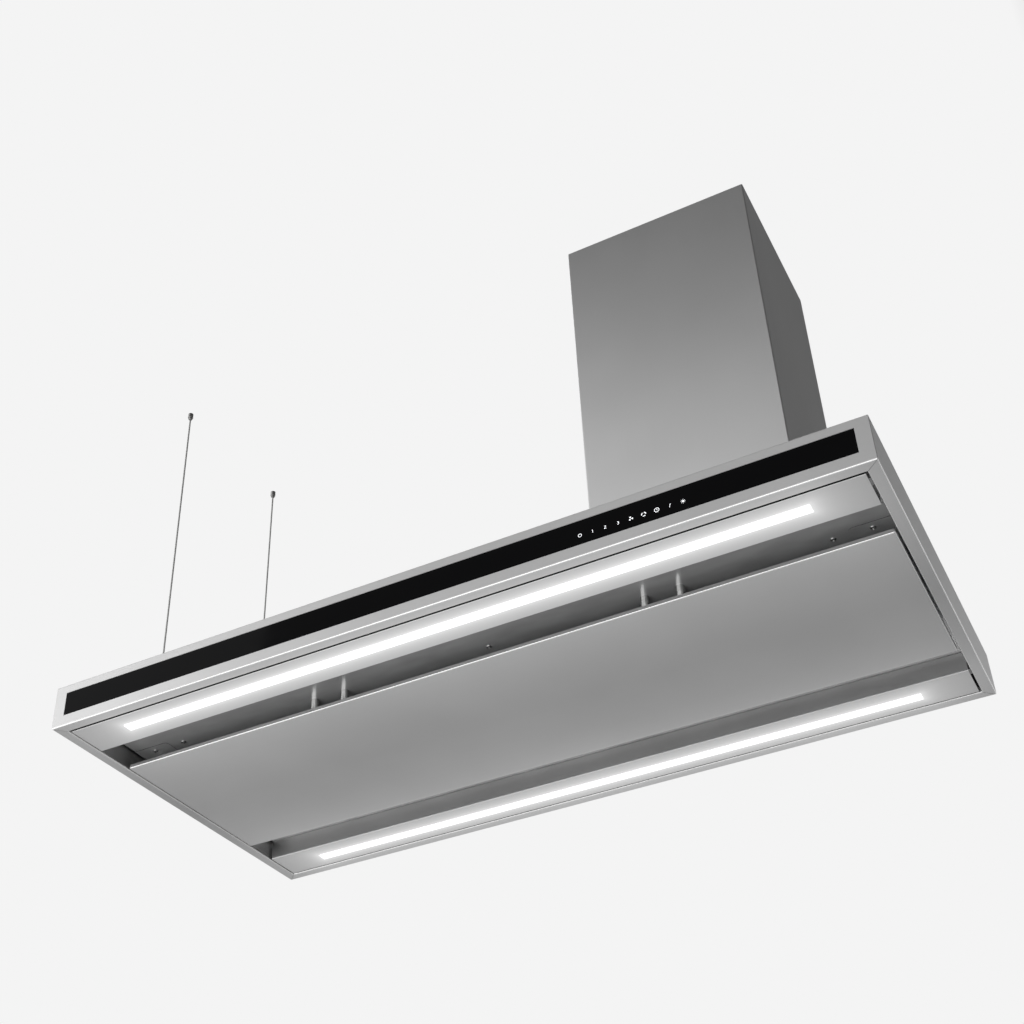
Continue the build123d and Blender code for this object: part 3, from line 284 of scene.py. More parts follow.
def bright_stainless(name, colour):
    """Bright rolled stainless under a dull film: mirrors what is close to it, a little wavy from rolling."""
    material, tree, place = new_material(name)
    sheet = add_node(tree, "ShaderNodeMapping", Vector=place, Scale=per_mm(60.0, 25.0, 25.0))
    wave = add_node(tree, "ShaderNodeTexNoise", Vector=sheet, Scale=1.0)
    lines = add_node(tree, "ShaderNodeMapping", Vector=place, Scale=per_mm(90.0, 1.0, 1.0))
    grain = add_node(tree, "ShaderNodeTexNoise", Vector=lines, Scale=1.0)
    tone = add_node(tree, "ShaderNodeMapRange", Value=wave, **NOISE_SPAN)
    base = add_node(tree, "ShaderNodeMix", {"data_type": "RGBA"}, Factor=tone, A=linear(shade(colour, 0.92)),
                    B=linear(colour))
    gloss = add_node(tree, "ShaderNodeMapRange", Value=grain, To_Min=0.14, To_Max=0.22, **NOISE_SPAN)
    ripple = add_node(tree, "ShaderNodeBump", Height=wave, Distance=0.02 * MM, Strength=0.2)
    bare_share = 0.5
    shader = add_node(tree, "ShaderNodeBsdfPrincipled", Base_Color=base, Metallic=bare_share, Roughness=gloss,
                      Normal=ripple)
    add_node(tree, "ShaderNodeOutputMaterial", Surface=shader)
    return material


def galvanised_steel(name, colour):
    """Hot-dip galvanised sheet: crystals of zinc with their own tone and gloss, dull between them."""
    material, tree, place = new_material(name)
    spangle = add_node(tree, "ShaderNodeTexVoronoi", Vector=place, Scale=per_mm(9.0)[0])
    tone = add_node(tree, "ShaderNodeSeparateColor", Color=spangle.outputs["Color"])
    base = add_node(tree, "ShaderNodeMix", {"data_type": "RGBA"}, Factor=tone, A=linear(shade(colour, 0.85)),
                    B=linear(colour))
    gloss = add_node(tree, "ShaderNodeMapRange", Value=tone, To_Min=0.34, To_Max=0.5)
    shader = add_node(tree, "ShaderNodeBsdfPrincipled", Base_Color=base, Metallic=1.0, Roughness=gloss)
    add_node(tree, "ShaderNodeOutputMaterial", Surface=shader)
    return material


def satin_aluminium(name, colour):
    """Expanded aluminium: pale satin metal with faint drawing lines."""
    material, tree, place = new_material(name)
    lines = add_node(tree, "ShaderNodeMapping", Vector=place, Scale=per_mm(6.0, 1.2, 1.2))
    grain = add_node(tree, "ShaderNodeTexNoise", Vector=lines, Scale=1.0)
    tone = add_node(tree, "ShaderNodeMapRange", Value=grain, **NOISE_SPAN)
    base = add_node(tree, "ShaderNodeMix", {"data_type": "RGBA"}, Factor=tone, A=linear(shade(colour, 0.93)),
                    B=linear(colour))
    gloss = add_node(tree, "ShaderNodeMapRange", Value=grain, To_Min=0.28, To_Max=0.42, **NOISE_SPAN)
    shader = add_node(tree, "ShaderNodeBsdfPrincipled", Base_Color=base, Metallic=1.0, Roughness=gloss)
    add_node(tree, "ShaderNodeOutputMaterial", Surface=shader)
    return material


def plated_steel(name, colour, rough=(0.12, 0.24)):
    """Nickel-plated steel: bright, with fine turning marks and a little haze from handling."""
    material, tree, place = new_material(name)
    marks = add_node(tree, "ShaderNodeMapping", Vector=place, Scale=per_mm(3.0, 3.0, 0.8))
    haze = add_node(tree, "ShaderNodeTexNoise", Vector=marks, Scale=1.0)
    tone = add_node(tree, "ShaderNodeMapRange", Value=haze, **NOISE_SPAN)
    base = add_node(tree, "ShaderNodeMix", {"data_type": "RGBA"}, Factor=tone, A=linear(shade(colour, 0.9)),
                    B=linear(colour))
    gloss = add_node(tree, "ShaderNodeMapRange", Value=haze, To_Min=rough[0], To_Max=rough[1], **NOISE_SPAN)
    shader = add_node(tree, "ShaderNodeBsdfPrincipled", Base_Color=base, Metallic=1.0, Roughness=gloss)
    add_node(tree, "ShaderNodeOutputMaterial", Surface=shader)
    return material


def black_glass(name, colour):
    """Toughened float glass printed black on its back: deep black under one clean, weak reflection."""
    material, tree, place = new_material(name)
    wiped = add_node(tree, "ShaderNodeMapping", Vector=place, Scale=per_mm(70.0, 30.0, 30.0))
    film = add_node(tree, "ShaderNodeTexNoise", Vector=wiped, Scale=1.0)
    tone = add_node(tree, "ShaderNodeMapRange", Value=film, **NOISE_SPAN)
    base = add_node(tree, "ShaderNodeMix", {"data_type": "RGBA"}, Factor=tone, A=linear(colour),
                    B=linear(shade(colour, 1.3)))
    gloss = add_node(tree, "ShaderNodeMapRange", Value=film, To_Min=0.03, To_Max=0.07, **NOISE_SPAN)
    shader = add_node(tree, "ShaderNodeBsdfPrincipled", Base_Color=base, Roughness=gloss, IOR=1.52,
                      Specular_IOR_Level=0.035)
    add_node(tree, "ShaderNodeOutputMaterial", Surface=shader)
    return material


def lit_opal(name, colour, strength):
    """Opal acrylic with light behind it: even white, a touch weaker between the diodes."""
    material, tree, place = new_material(name)
    diode_pitch_mm = 50.0
    between_diodes = 0.9
    row = add_node(tree, "ShaderNodeMapping", Vector=place, Scale=per_mm(diode_pitch_mm, 400.0, 400.0))
    diodes = add_node(tree, "ShaderNodeTexNoise", Vector=row, Scale=1.0, Detail=0.0)
    level = add_node(tree, "ShaderNodeMapRange", Value=diodes, To_Min=strength * between_diodes,
                     To_Max=strength, **NOISE_SPAN)
    shader = add_node(tree, "ShaderNodeBsdfPrincipled", Base_Color=linear(colour), Roughness=0.35, IOR=1.49,
                      Emission_Color=linear(colour), Emission_Strength=level)
    add_node(tree, "ShaderNodeOutputMaterial", Surface=shader)
    return material


def lit_white_print(name, colour):
    """White ceramic print, lit from behind: clean white marks against black, a little uneven in tone."""
    material, tree, place = new_material(name)
    fleck = add_node(tree, "ShaderNodeTexNoise", Vector=place, Scale=per_mm(1.5)[0])
    level = add_node(tree, "ShaderNodeMapRange", Value=fleck, To_Min=0.6, To_Max=0.85, **NOISE_SPAN)
    shader = add_node(tree, "ShaderNodeBsdfPrincipled", Base_Color=linear(colour), Roughness=0.4,
                      Emission_Color=linear(colour), Emission_Strength=level)
    add_node(tree, "ShaderNodeOutputMaterial", Surface=shader)
    return material


def moulded_plastic(name, colour, rough=(0.42, 0.55), spark_mm=0.8):
    """Moulded plastic, rubber, paint, or black painted shade in gaps: even colour under a fine texture that
    breaks up the shine.
    """
    material, tree, place = new_material(name)
    texture = add_node(tree, "ShaderNodeTexNoise", Vector=place, Scale=per_mm(spark_mm)[0])
    cloud = add_node(tree, "ShaderNodeTexNoise", Vector=place, Scale=per_mm(25.0)[0])
    tone = add_node(tree, "ShaderNodeMapRange", Value=cloud, **NOISE_SPAN)
    base = add_node(tree, "ShaderNodeMix", {"data_type": "RGBA"}, Factor=tone, A=linear(shade(colour, 0.9)),
                    B=linear(shade(colour, 1.08)))
    gloss = add_node(tree, "ShaderNodeMapRange", Value=texture, To_Min=rough[0], To_Max=rough[1],
                     **NOISE_SPAN)
    pits = add_node(tree, "ShaderNodeBump", Height=texture, Distance=0.03 * MM, Strength=0.3)
    shader = add_node(tree, "ShaderNodeBsdfPrincipled", Base_Color=base, Roughness=gloss, IOR=1.53,
                      Normal=pits)
    add_node(tree, "ShaderNodeOutputMaterial", Surface=shader)
    return material


def matt_floor_paint(name, colour):
    """Matt painted floor: pale and even, with no shine."""
    material, tree, place = new_material(name)
    cloud = add_node(tree, "ShaderNodeTexNoise", Vector=place, Scale=per_mm(900.0)[0])
    tone = add_node(tree, "ShaderNodeMapRange", Value=cloud, **NOISE_SPAN)
    base = add_node(tree, "ShaderNodeMix", {"data_type": "RGBA"}, Factor=tone, A=linear(shade(colour, 0.98)),
                    B=linear(colour))
    shader = add_node(tree, "ShaderNodeBsdfPrincipled", Base_Color=base, Roughness=0.9)
    add_node(tree, "ShaderNodeOutputMaterial", Surface=shader)
    return material


def dress(material, *names):
    """Gives CAD nodes one material."""
    for name in names:
        mesh = nodes[name].data
        mesh.materials.clear()
        mesh.materials.append(material)


def line_edges(material, name, chosen):
    """Gives the chosen faces of a CAD node a second material."""
    mesh = nodes[name].data
    mesh.materials.append(material)
    for face in mesh.polygons:
        if chosen(face):
            face.material_index = 1


def add_piece(name, mesh, material, body):
    """A new piece with its material, riding on a body of the frame."""
    piece = bpy.data.objects.new(name, mesh)
    bpy.context.scene.collection.objects.link(piece)
    mesh.materials.append(material)
    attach(piece, body)
    return piece


def finished_mesh(name, shape):
    """Turns a bmesh into a mesh of the given name and frees it."""
    mesh = bpy.data.meshes.new(name)
    shape.to_mesh(mesh)
    shape.free()
    return mesh


def turned(name, profile_mm, segments=32):
    """Mesh of revolution about Z from (radius, height) points in millimetres."""
    shape = bmesh.new()
    line = [shape.verts.new((radius * MM, 0, height * MM)) for radius, height in profile_mm]
    edges = [shape.edges.new(pair) for pair in zip(line, line[1:])]
    bmesh.ops.spin(shape, geom=line + edges, cent=(0, 0, 0), axis=(0, 0, 1), angle=2 * math.pi,
                   steps=segments, use_duplicate=False)
    bmesh.ops.remove_doubles(shape, verts=shape.verts, dist=1e-6)
    bmesh.ops.recalc_face_normals(shape, faces=shape.faces)
    mesh = finished_mesh(name, shape)
    mesh.shade_smooth()
    mesh.set_sharp_from_angle(angle=math.radians(35))
    return mesh


class HOOD_OT_sheet_metal(bpy.types.Operator):
    """Brushed stainless with folds painted lighter as a highlight, a bright tray, and black painted shade in
    the gaps by the light panels
    """

    bl_idname = "hood.sheet_metal"
    bl_label = "Sheet metal"

    def execute(self, context):
        finish = context.scene.hood_finishes
        steel = finish.brushed_steel
        long_mm = 120.0
        wide_mm = 1.0
        along_x = (long_mm, wide_mm, wide_mm)
        along_y = (wide_mm, long_mm, wide_mm)
        upright = (wide_mm, wide_mm, long_mm)
        long_steel = brushed_stainless("brushed_stainless_long", steel, along_x, (0.37, 0.43), 0.6, finish)
        dress(long_steel, "front_fascia", "rear_fascia", "front_light_channel", "rear_light_channel")
        side_steel = brushed_stainless("brushed_stainless_side", steel, along_y, painted_glow_finish=finish)
        dress(side_steel, "left_side", "right_side")
        panel_steel = brushed_stainless("brushed_stainless_panel", steel, along_x, (0.36, 0.42),
                                        painted_glow_finish=finish)
        dress(panel_steel, "suction_panel")
        dress(brushed_stainless("brushed_stainless_top", steel, along_x), "top_plate")
        # Painted light: the chimney's steel is the canopy's steel painted 6 % lighter
        dress(brushed_stainless("brushed_stainless_upright_painted_lighter", shade(steel, 1.06), upright), "chimney_front",
              "chimney_back")
        dress(bright_stainless("bright_stainless_tray", finish.tray_steel), "filter_tray", "tray_end_plates")

        # A fold's faces look neither straight down, as a rim does, nor sideways, as a wall does
        straight_down = -0.97
        sideways = -0.05
        # Painted highlight: each fold gets a copy of the steel made 18 % lighter, with a glossier finish
        folds = (("long", along_x, ("front_fascia", "rear_fascia", "suction_panel")),
                 ("side", along_y, ("left_side", "right_side")))
        for run, grain_mm, names in folds:
            fold = brushed_stainless(f"painted_highlight_stainless_fold_{run}", shade(steel, 1.18), grain_mm,
                                     (0.2, 0.28), 0.6, finish)
            for name in names:
                line_edges(fold, name, lambda face: straight_down < face.normal.z < sideways)

        # Painted shade: the outer flanges of the light channels and the upright faces of the tray's end
        # plates are made black, so the gaps by the light panels read dark
        steep = 0.5
        gap_shade_black = moulded_plastic("black_painted_gap_shade", finish.rubber, (0.7, 0.85))
        for name in ("front_light_channel", "rear_light_channel"):
            low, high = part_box(name)
            middle = abs(low.y + high.y) / 2
            line_edges(gap_shade_black, name, lambda face: face.normal.z > -steep and abs(face.center.y) > middle)
        line_edges(gap_shade_black, "tray_end_plates", lambda face: abs(face.normal.z) < steep)
        return {"FINISHED"}


class HOOD_OT_inner_works(bpy.types.Operator):
    """Finishes of the frame, the blower, the hinges and the electronics"""

    bl_idname = "hood.inner_works"
    bl_label = "Inner works"

    def execute(self, context):
        finish = context.scene.hood_finishes
        dress(galvanised_steel("galvanised_steel", finish.zinc), "base_frame", "ceiling_bracket",
              "frame_posts", "blower_rails", "scroll_wrap", "scroll_front_plate", "scroll_rear_plate",
              "motor_bracket", "hinge_brackets", "hinge_leaves", "panel_back", "glass_carrier",
              "strike_plates", "outlet_collar")
        dress(satin_aluminium("satin_aluminium", finish.aluminium), "filter_frame_left", "filter_frame_right",
              "filter_mesh_left", "filter_mesh_right")
        dress(plated_steel("polished_nickel_plate", finish.plated, (0.03, 0.07)), "magnet_posts")
        dress(plated_steel("nickel_plated_steel", finish.plated), "hex_bolts", "hinge_pins", "flap_pin",
              "post_magnets", "motor_shaft", "wire_grippers", "gripper_plunger_front", "gripper_plunger_rear",
              "pan_screws", "ceiling_anchors", "wire_front", "wire_rear")
        dress(moulded_plastic("black_moulded_abs", finish.black_plastic), "control_box", "control_box_lid",
              "capacitor", "filter_latch_left", "filter_latch_right", "flap_left", "flap_right", "impeller")
        dress(moulded_plastic("white_solder_mask", finish.board, (0.3, 0.4), 2.0), "front_led_board",
              "rear_led_board", "touch_board")
        dress(moulded_plastic("pale_polycarbonate", finish.case), "led_driver")
        dress(moulded_plastic("moulded_rubber", finish.rubber, (0.7, 0.85)), "blower_grommets")
        dress(moulded_plastic("stoved_enamel", finish.enamel, (0.22, 0.32), 4.0), "motor")
        return {"FINISHED"}


class HOOD_OT_glass_and_lights(bpy.types.Operator):
    """Black control glass and the two lit diffusers"""

    bl_idname = "hood.glass_and_lights"
    bl_label = "Glass and lights"

    def execute(self, context):
        finish = context.scene.hood_finishes
        dress(black_glass("back_printed_black_glass", finish.glass), "control_glass")
        dress(lit_opal("lit_opal_acrylic", finish.opal, finish.light_strength), "front_light_diffuser",
              "rear_light_diffuser")
        return {"FINISHED"}


def arc_band(centre, radius, width, start, end, steps=16):
    """Quads of a band along an arc, with angles in degrees."""
    turns = [math.radians(start + (end - start) * i / steps) for i in range(steps + 1)]
    inner, outer = [[(centre[0] + edge * math.cos(t), centre[1] + edge * math.sin(t)) for t in turns]
                    for edge in (radius - width / 2, radius + width / 2)]
    return [[outer[i], outer[i + 1], inner[i + 1], inner[i]] for i in range(steps)]


def bar(start, end, width):
    """Quad of a straight stroke between two points."""
    along = (Vector(end) - Vector(start)).normalized()
    across = Vector((-along.y, along.x)) * width / 2
    corners = [Vector(start) + across, Vector(start) - across, Vector(end) - across, Vector(end) + across]
    return [[tuple(corner) for corner in corners]]


def fan_blade(turn):
    """Outline of one blade of the fan symbol, turned by an angle in degrees."""
    hub = 0.9
    tip = 3.4
    corners = [(hub, 55), (hub, 0), (tip, -8), (tip, 15), (tip, 40)]
    return [[(reach * math.cos(math.radians(turn + angle)), reach * math.sin(math.radians(turn + angle)))
             for reach, angle in corners]]


def touch_symbols():
    """Strokes of the nine touch symbols from left to right, on the symbols' grid."""
    stroke = 0.65
    ring = arc_band((0, 0), 2.5, 0.75, 0, 360, 28)
    one = bar((0.25, -2.5), (0.25, 2.5), stroke) + bar((0.25, 2.3), (-0.8, 1.4), stroke)
    two = arc_band((0, 1.1), 1.15, stroke, 170, -30) + bar((1.0, 0.6), (-1.3, -2.2), stroke)
    two += bar((-1.6, -2.2), (1.6, -2.2), stroke)
    three = arc_band((0, 1.15), 1.1, stroke, 150, -90) + arc_band((0, -1.1), 1.25, stroke, 90, -150)
    fan = [blade for turn in (90, 210, 330) for blade in fan_blade(turn)]
    cycle = [quad for turn in (0, 120, 240) for quad in arc_band((0, 0), 3.0, 1.3, turn, turn + 78)]
    clock = arc_band((0, 0), 3.3, 0.8, 0, 360, 28) + bar((0, 0), (0, 2.0), stroke)
    clock += bar((0, 0), (1.4, -0.6), stroke)
    slash = bar((-0.75, -2.6), (0.75, 2.5), stroke) + bar((0.75, 2.5), (1.7, 2.2), stroke)
    lamp = arc_band((0, 0), 0.8, 1.6, 0, 360, 20)
    for turn in range(0, 360, 45):
        outwards = Vector((math.cos(math.radians(turn)), math.sin(math.radians(turn))))
        lamp += bar(outwards * 2.3, outwards * 3.4, 0.6)
    return [ring, one, two, three, fan, cycle, clock, slash, lamp]


class HOOD_OT_touch_symbols(bpy.types.Operator):
    """Row of lit touch symbols printed on the control glass"""

    bl_idname = "hood.touch_symbols"
    bl_label = "Touch symbols"

    def execute(self, context):
        sizes = context.scene.hood_sizes
        material = lit_white_print("lit_white_print", context.scene.hood_finishes.symbols)
        symbols = touch_symbols()
        unit = sizes.symbol_height / DIGIT_GRID
        middle_x = (touch_low.x + touch_high.x) / 2
        middle_z = (touch_low.z + touch_high.z) / 2 - sizes.symbol_drop
        face_y = glass_low.y - sizes.symbol_print
        for index, strokes in enumerate(symbols):
            shape = bmesh.new()
            place_x = middle_x + (index - (len(symbols) - 1) / 2) * sizes.symbol_pitch
            for outline in strokes:
                shape.faces.new([shape.verts.new((place_x + u * unit, face_y, middle_z + v * unit))
                                 for u, v in outline])
            bmesh.ops.recalc_face_normals(shape, faces=shape.faces)
            mesh = finished_mesh(f"touch_symbol_{index + 1}", shape)
            add_piece(mesh.name, mesh, material, "hood")
        return {"FINISHED"}


def screw_places():
    """Outer end and direction of each pan-head screw, read from the solids of their node."""
    groups = []
    apart = 15 * MM
    for vertex in nodes["pan_screws"].data.vertices:
        home = next((group for group in groups if (group[0] - vertex.co).length < apart), None)
        if home is None:
            groups.append([vertex.co.copy()])
        else:
            home.append(vertex.co.copy())
    tray_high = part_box("filter_tray")[1]
    places = []
    for group in groups:
        low = Vector([min(point[i] for point in group) for i in range(3)])
        high = Vector([max(point[i] for point in group) for i in range(3)])
        middle = (low + high) / 2
        if middle.z > canopy_high.z + apart:
            places.append((Vector((middle.x, high.y, middle.z)), Vector((0, 1, 0))))
        elif middle.z > tray_high.z - apart / 2:
            places.append((Vector((middle.x, middle.y, high.z)), Vector((0, 0, 1))))
        else:
            places.append((Vector((middle.x, middle.y, low.z)), Vector((0, 0, -1))))
    return places


class HOOD_OT_pan_screws(bpy.types.Operator):
    """Pan-head screws with a cross recess, in place of the plain ones"""

    bl_idname = "hood.pan_screws"
    bl_label = "Pan-head screws"

    def execute(self, context):
        sizes = context.scene.hood_sizes
        material = plated_steel("nickel_plated_screws", context.scene.hood_finishes.plated, (0.08, 0.16))
        head_mm = 2.2
        shank_mm = 2.0
        shank_length_mm = 6.0
        tip_mm = head_mm + shank_length_mm
        taper_mm = 0.5
        mesh = turned("pan_screw", [
            (0.0, 0.0), (1.4, -0.03), (2.4, -0.25), (3.2, -0.75), (3.7, -1.3), (3.9, -1.8), (3.9, -head_mm),
            (shank_mm, -head_mm), (shank_mm, taper_mm - tip_mm), (shank_mm - taper_mm, -tip_mm),
            (0.0, -tip_mm)])
        reach = 2.1 * MM
        cutter = bmesh.new()
        for turn in (0, 90):
            bmesh.ops.create_cube(cutter, size=1.0, matrix=Matrix.Rotation(math.radians(turn), 4, "Z")
                                  @ Matrix.Diagonal((2 * reach, sizes.screw_recess, reach, 1)))
        blank = bpy.data.objects.new("screw_blank", mesh)
        tool = bpy.data.objects.new("screw_tool", finished_mesh("cross_recess", cutter))
        for part in (blank, tool):
            context.scene.collection.objects.link(part)
        cut = blank.modifiers.new("cross_recess", "BOOLEAN")
        cut.object = tool
        cut.operation = "DIFFERENCE"
        cut.use_self = True
        context.view_layer.update()
        recessed = bpy.data.meshes.new_from_object(blank.evaluated_get(context.evaluated_depsgraph_get()))
        recessed.name = "pan_screw_recessed"
        for part in (blank, tool):
            bpy.data.objects.remove(part)
        recessed.materials.clear()
        recessed.materials.append(material)
        for index, (end, out) in enumerate(screw_places()):
            screw = bpy.data.objects.new(f"pan_screw_{index + 1:02d}", recessed)
            context.scene.collection.objects.link(screw)
            screw.matrix_world = Matrix.Translation(end) @ out.to_track_quat("Z", "Y").to_matrix().to_4x4()
            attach(screw, "hood")
        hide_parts("pan_screws")
        return {"FINISHED"}


class HOOD_OT_filter_layers(bpy.types.Operator):
    """Layers of expanded aluminium above the holed sheet of each grease filter"""

    bl_idname = "hood.filter_layers"
    bl_label = "Filter layers"

    def execute(self, context):
        sizes = context.scene.hood_sizes
        material = satin_aluminium("expanded_aluminium", context.scene.hood_finishes.aluminium)
        long_way = sizes.mesh_diamond
        short_way = long_way / 2
        strand = 0.9 * MM
        margin = 14 * MM
        first_rise = 1.0 * MM
        layer_rise = 1.2 * MM
        for hand in ("left", "right"):
            low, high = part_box(f"filter_mesh_{hand}")
            shape = bmesh.new()
            for layer in range(2):
                height = high.z + first_rise + layer_rise * layer
                start_x = low.x + margin + layer * long_way / 2
                start_y = low.y + margin + layer * short_way / 2
                start = Vector((start_x, start_y))
                columns = int((high.x - margin - start.x) / long_way)
                rows = int((high.y - margin - start.y) / short_way)
                for column in range(columns):
                    for row in range(rows):
                        middle = start + Vector(((column + 0.5) * long_way, (row + 0.5) * short_way))
                        rings = []
                        for grow in (0.0, -strand):
                            reach = Vector((long_way / 2 + 2 * grow, short_way / 2 + grow))
                            corners = [(reach.x, 0), (0, reach.y), (-reach.x, 0), (0, -reach.y)]
                            rings.append([shape.verts.new((middle.x + x, middle.y + y, height - grow / 2))
                                          for x, y in corners])
                        for i in range(4):
                            j = (i + 1) % 4
                            shape.faces.new((rings[0][i], rings[0][j], rings[1][j], rings[1][i]))
            mesh = finished_mesh(f"filter_layers_{hand}", shape)
            add_piece(mesh.name, mesh, material, "hood")
        return {"FINISHED"}


def route_line(route, points):
    """Points along a smooth NURBS spline through a cord's route."""
    curve = bpy.data.curves.new("route", "CURVE")
    curve.dimensions = "3D"
    spline = curve.splines.new("NURBS")
    spline.points.add(len(route) - 1)
    for target, place in zip(spline.points, route):
        target.co = (*place, 1)
    spline.order_u = 3
    spline.use_endpoint_u = True
    spline.resolution_u = points
    holder = bpy.data.objects.new("route", curve)
    line = bpy.data.meshes.new_from_object(holder)
    places = [vertex.co.copy() for vertex in line.vertices]
    bpy.data.meshes.remove(line)
    bpy.data.curves.remove(curve)
    return places


def add_tube(shape, line, radius, sides=6):
    """A closed tube along a line of points, added to a bmesh."""
    rings = []
    for index, place in enumerate(line):
        ahead = line[min(index + 1, len(line) - 1)] - line[max(index - 1, 0)]
        across = ahead.cross(Vector((1, 0, 0))).normalized()
        up = across.cross(ahead).normalized()
        turns = [2 * math.pi * side / sides for side in range(sides)]
        spokes = [(across * math.cos(t) + up * math.sin(t)) * radius for t in turns]
        rings.append([shape.verts.new(place + spoke) for spoke in spokes])
    for near, far in zip(rings, rings[1:]):
        for side in range(sides):
            other = (side + 1) % sides
            shape.faces.new((near[side], near[other], far[other], far[side]))
    shape.faces.new(list(reversed(rings[0])))
    shape.faces.new(rings[-1])


class HOOD_OT_suspension_wires(bpy.types.Operator):
    """Taut wire ropes between the grippers and their turned ceiling anchors"""

    bl_idname = "hood.suspension_wires"
    bl_label = "Suspension wires"

    def execute(self, context):
        sizes = context.scene.hood_sizes
        finish = context.scene.hood_finishes
        rope_steel = plated_steel("bright_wire_rope", finish.plated, (0.25, 0.4))
        anchor_steel = plated_steel("nickel_plated_anchor", shade(finish.plated, 0.8), (0.2, 0.32))
        anchor_low, anchor_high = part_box("ceiling_anchors")
        height_mm = (anchor_high.z - anchor_low.z) / MM
        body_radius_mm = 4.5
        body_chamfer_mm = 0.4
        neck_radius_mm = 3.4
        neck_length_mm = 2.5
        neck_chamfer_mm = 0.5
        taper_mm = 0.9
        bore_radius_mm = 1.6
        thread_radius_mm = 2.5
        thread_depth_mm = 7.0
        anchor_profile = [
            (bore_radius_mm, -height_mm), (neck_radius_mm - neck_chamfer_mm, -height_mm),
            (neck_radius_mm, neck_chamfer_mm - height_mm), (neck_radius_mm, neck_length_mm - height_mm),
            (body_radius_mm, neck_length_mm + taper_mm - height_mm), (body_radius_mm, -body_chamfer_mm),
            (body_radius_mm - body_chamfer_mm, 0.0), (thread_radius_mm, 0.0),
            (thread_radius_mm, -thread_depth_mm), (0.0, -thread_depth_mm)]
        for end in ("front", "rear"):
            low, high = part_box(f"wire_{end}")
            middle = (low + high) / 2
            rope_radius = (high.x - low.x) / 2
            route = [Vector((middle.x, middle.y, z)) for z in (low.z, middle.z, high.z)]
            line = route_line(route, points=220)
            strand_radius = rope_radius / 3
            shape = bmesh.new()
            add_tube(shape, line, strand_radius)
            for strand in range(sizes.strand_count):
                first = 2 * math.pi * strand / sizes.strand_count
                turns = [first + 2 * math.pi * (place.z - low.z) / sizes.rope_lay for place in line]
                helix = [place + Vector((math.cos(t), math.sin(t), 0)) * 2 * strand_radius
                         for place, t in zip(line, turns)]
                add_tube(shape, helix, strand_radius)
            mesh = finished_mesh(f"wire_rope_{end}", shape)
            mesh.shade_smooth()
            rope = add_piece(mesh.name, mesh, rope_steel, "hood")
            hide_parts(f"wire_{end}")

            body = turned(f"ceiling_anchor_{end}", anchor_profile)
            body.transform(Matrix.Translation((middle.x, middle.y, anchor_high.z)))
            anchor = add_piece(body.name, body, anchor_steel, "hood")
        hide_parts("ceiling_anchors")
        return {"FINISHED"}


def add_light(name, place, aim, width, height, power):
    """A soft light of a given width and height that faces a point and isn't seen itself."""
    data = bpy.data.lights.new(name, "AREA")
    data.shape = "RECTANGLE"
    data.size = width
    data.size_y = height
    data.energy = power
    light = bpy.data.objects.new(name, data)
    bpy.context.scene.collection.objects.link(light)
    light.location = place
    light.rotation_euler = (Vector(aim) - Vector(place)).to_track_quat("-Z", "Y").to_euler()
    light.visible_camera = False


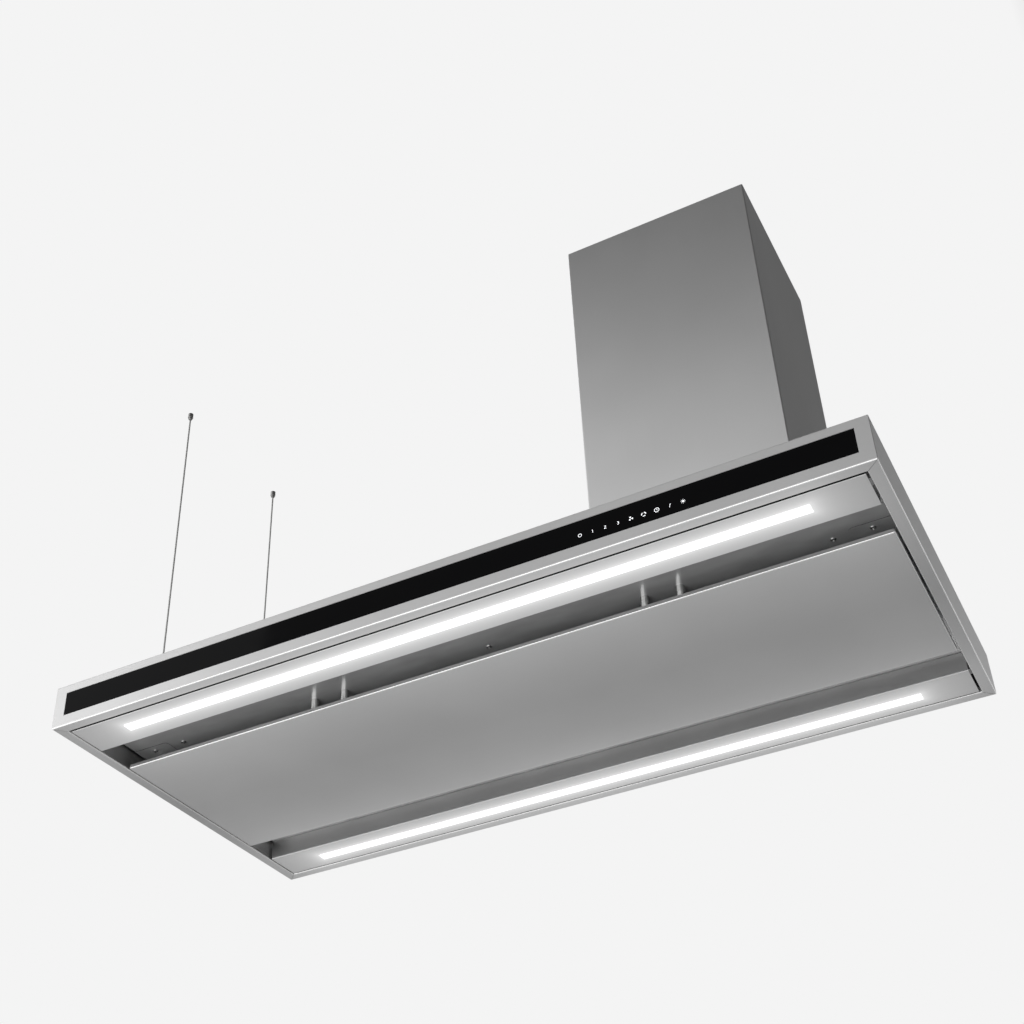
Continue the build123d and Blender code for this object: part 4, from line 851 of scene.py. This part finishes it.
class HOOD_OT_studio(bpy.types.Operator):
    """Pale floor, even studio light and the camera"""

    bl_idname = "hood.studio"
    bl_label = "Studio"

    def execute(self, context):
        scene = context.scene
        studio = scene.hood_studio
        scene.view_settings.view_transform = "Standard"
        floor_z = rim_z - studio.floor_drop
        floor_width = 400.0

        shape = bmesh.new()
        bmesh.ops.create_grid(shape, x_segments=1, y_segments=1, size=floor_width / 2)
        mesh = finished_mesh("studio_floor", shape)
        mesh.materials.append(matt_floor_paint("matt_floor_paint", studio.floor_colour))
        floor = bpy.data.objects.new("studio_floor", mesh)
        scene.collection.objects.link(floor)
        floor.location = (canopy_centre_x, 0, floor_z)

        # Pale walls all round, with a dim ceiling that begins high up in front and lower down on the right
        world = bpy.data.worlds.new("studio_light")
        scene.world = world
        world.use_nodes = True
        tree = world.node_tree
        tree.nodes.clear()
        towards = add_node(tree, "ShaderNodeTexCoord").outputs["Generated"]
        axes = add_node(tree, "ShaderNodeSeparateXYZ", Vector=towards)
        # Axis, the span in which that side fades in, and the span of height in which the ceiling fades in
        in_front = ("Y", 0.1, -0.3, 0.6, 0.76)
        on_the_right = ("X", 0.04, 0.14, 0.38, 0.46)
        shares = []
        for axis, side_from, side_to, low, high in (in_front, on_the_right):
            side = add_node(tree, "ShaderNodeMapRange", Value=axes.outputs[axis], From_Min=side_from,
                            From_Max=side_to)
            rise = add_node(tree, "ShaderNodeMapRange", {"interpolation_type": "SMOOTHSTEP"},
                            Value=axes.outputs["Z"], From_Min=low, From_Max=high)
            shares.append(add_node(tree, "ShaderNodeMath", {"operation": "MULTIPLY"}, i0=side, i1=rise))
        over = add_node(tree, "ShaderNodeMath", {"operation": "MAXIMUM"}, i0=shares[0], i1=shares[1])
        sweep = add_node(tree, "ShaderNodeMix", {"data_type": "RGBA"}, Factor=over, A=linear(studio.walls),
                         B=linear(studio.ceiling))
        light = add_node(tree, "ShaderNodeBackground", Color=sweep, Strength=1.0)
        add_node(tree, "ShaderNodeOutputWorld", Surface=light)

        canopy = (canopy_centre_x, 0, rim_z)
        add_light("key_light", (-4.55, -2.32, 1.47), canopy, width=4.0, height=3.6, power=studio.key_power)
        add_light("top_light", (-1.9, 0.95, 3.2), (-1.9, 0.95, floor_z), width=4.0, height=1.5,
                  power=studio.top_power)
        add_light("low_light", (-0.9, -1.9, floor_z + 0.75), canopy, width=3.6, height=1.5,
                  power=studio.low_power)

        lens = bpy.data.cameras.new("photo_camera")
        lens.lens = studio.lens
        lens.sensor_width = 36.0
        lens.shift_y = studio.shift_up
        lens.dof.use_dof = False
        camera = bpy.data.objects.new("photo_camera", lens)
        scene.collection.objects.link(camera)
        level = Vector(studio.camera_direction).to_track_quat("-Z", "Y").to_matrix().to_4x4()
        roll = Matrix.Rotation(studio.camera_roll, 4, "Z")
        camera.matrix_world = Matrix.Translation(studio.camera_place) @ level @ roll
        scene.camera = camera
        return {"FINISHED"}


operators = (HOOD_OT_sheet_metal, HOOD_OT_inner_works, HOOD_OT_glass_and_lights, HOOD_OT_touch_symbols,
             HOOD_OT_pan_screws, HOOD_OT_filter_layers, HOOD_OT_suspension_wires, HOOD_OT_studio)


class HOOD_PT_looks(bpy.types.Panel):
    """Sidebar panel that lists the steps of the hood's looks"""

    bl_idname = "HOOD_PT_looks"
    bl_label = "Island hood"
    bl_space_type = "VIEW_3D"
    bl_region_type = "UI"
    bl_category = "Hood"

    def draw(self, context):
        for operator in operators:
            self.layout.operator(operator.bl_idname)


classes = (HoodFinishes, HoodSizes, HoodStudio, *operators, HOOD_PT_looks)


def register():
    """Registers the classes and hangs their settings on the scene."""
    for cls in classes:
        bpy.utils.register_class(cls)
    bpy.types.Scene.hood_finishes = PointerProperty(type=HoodFinishes)
    bpy.types.Scene.hood_sizes = PointerProperty(type=HoodSizes)
    bpy.types.Scene.hood_studio = PointerProperty(type=HoodStudio)


def unregister():
    """Takes the settings and classes away again."""
    del bpy.types.Scene.hood_studio
    del bpy.types.Scene.hood_sizes
    del bpy.types.Scene.hood_finishes
    for cls in reversed(classes):
        bpy.utils.unregister_class(cls)


def main():
    """Dresses the hood step by step."""
    register()
    bpy.ops.hood.sheet_metal()
    bpy.ops.hood.inner_works()
    bpy.ops.hood.glass_and_lights()
    bpy.ops.hood.touch_symbols()
    bpy.ops.hood.pan_screws()
    bpy.ops.hood.filter_layers()
    bpy.ops.hood.suspension_wires()
    bpy.ops.hood.studio()


if __name__ == "__main__":
    main()
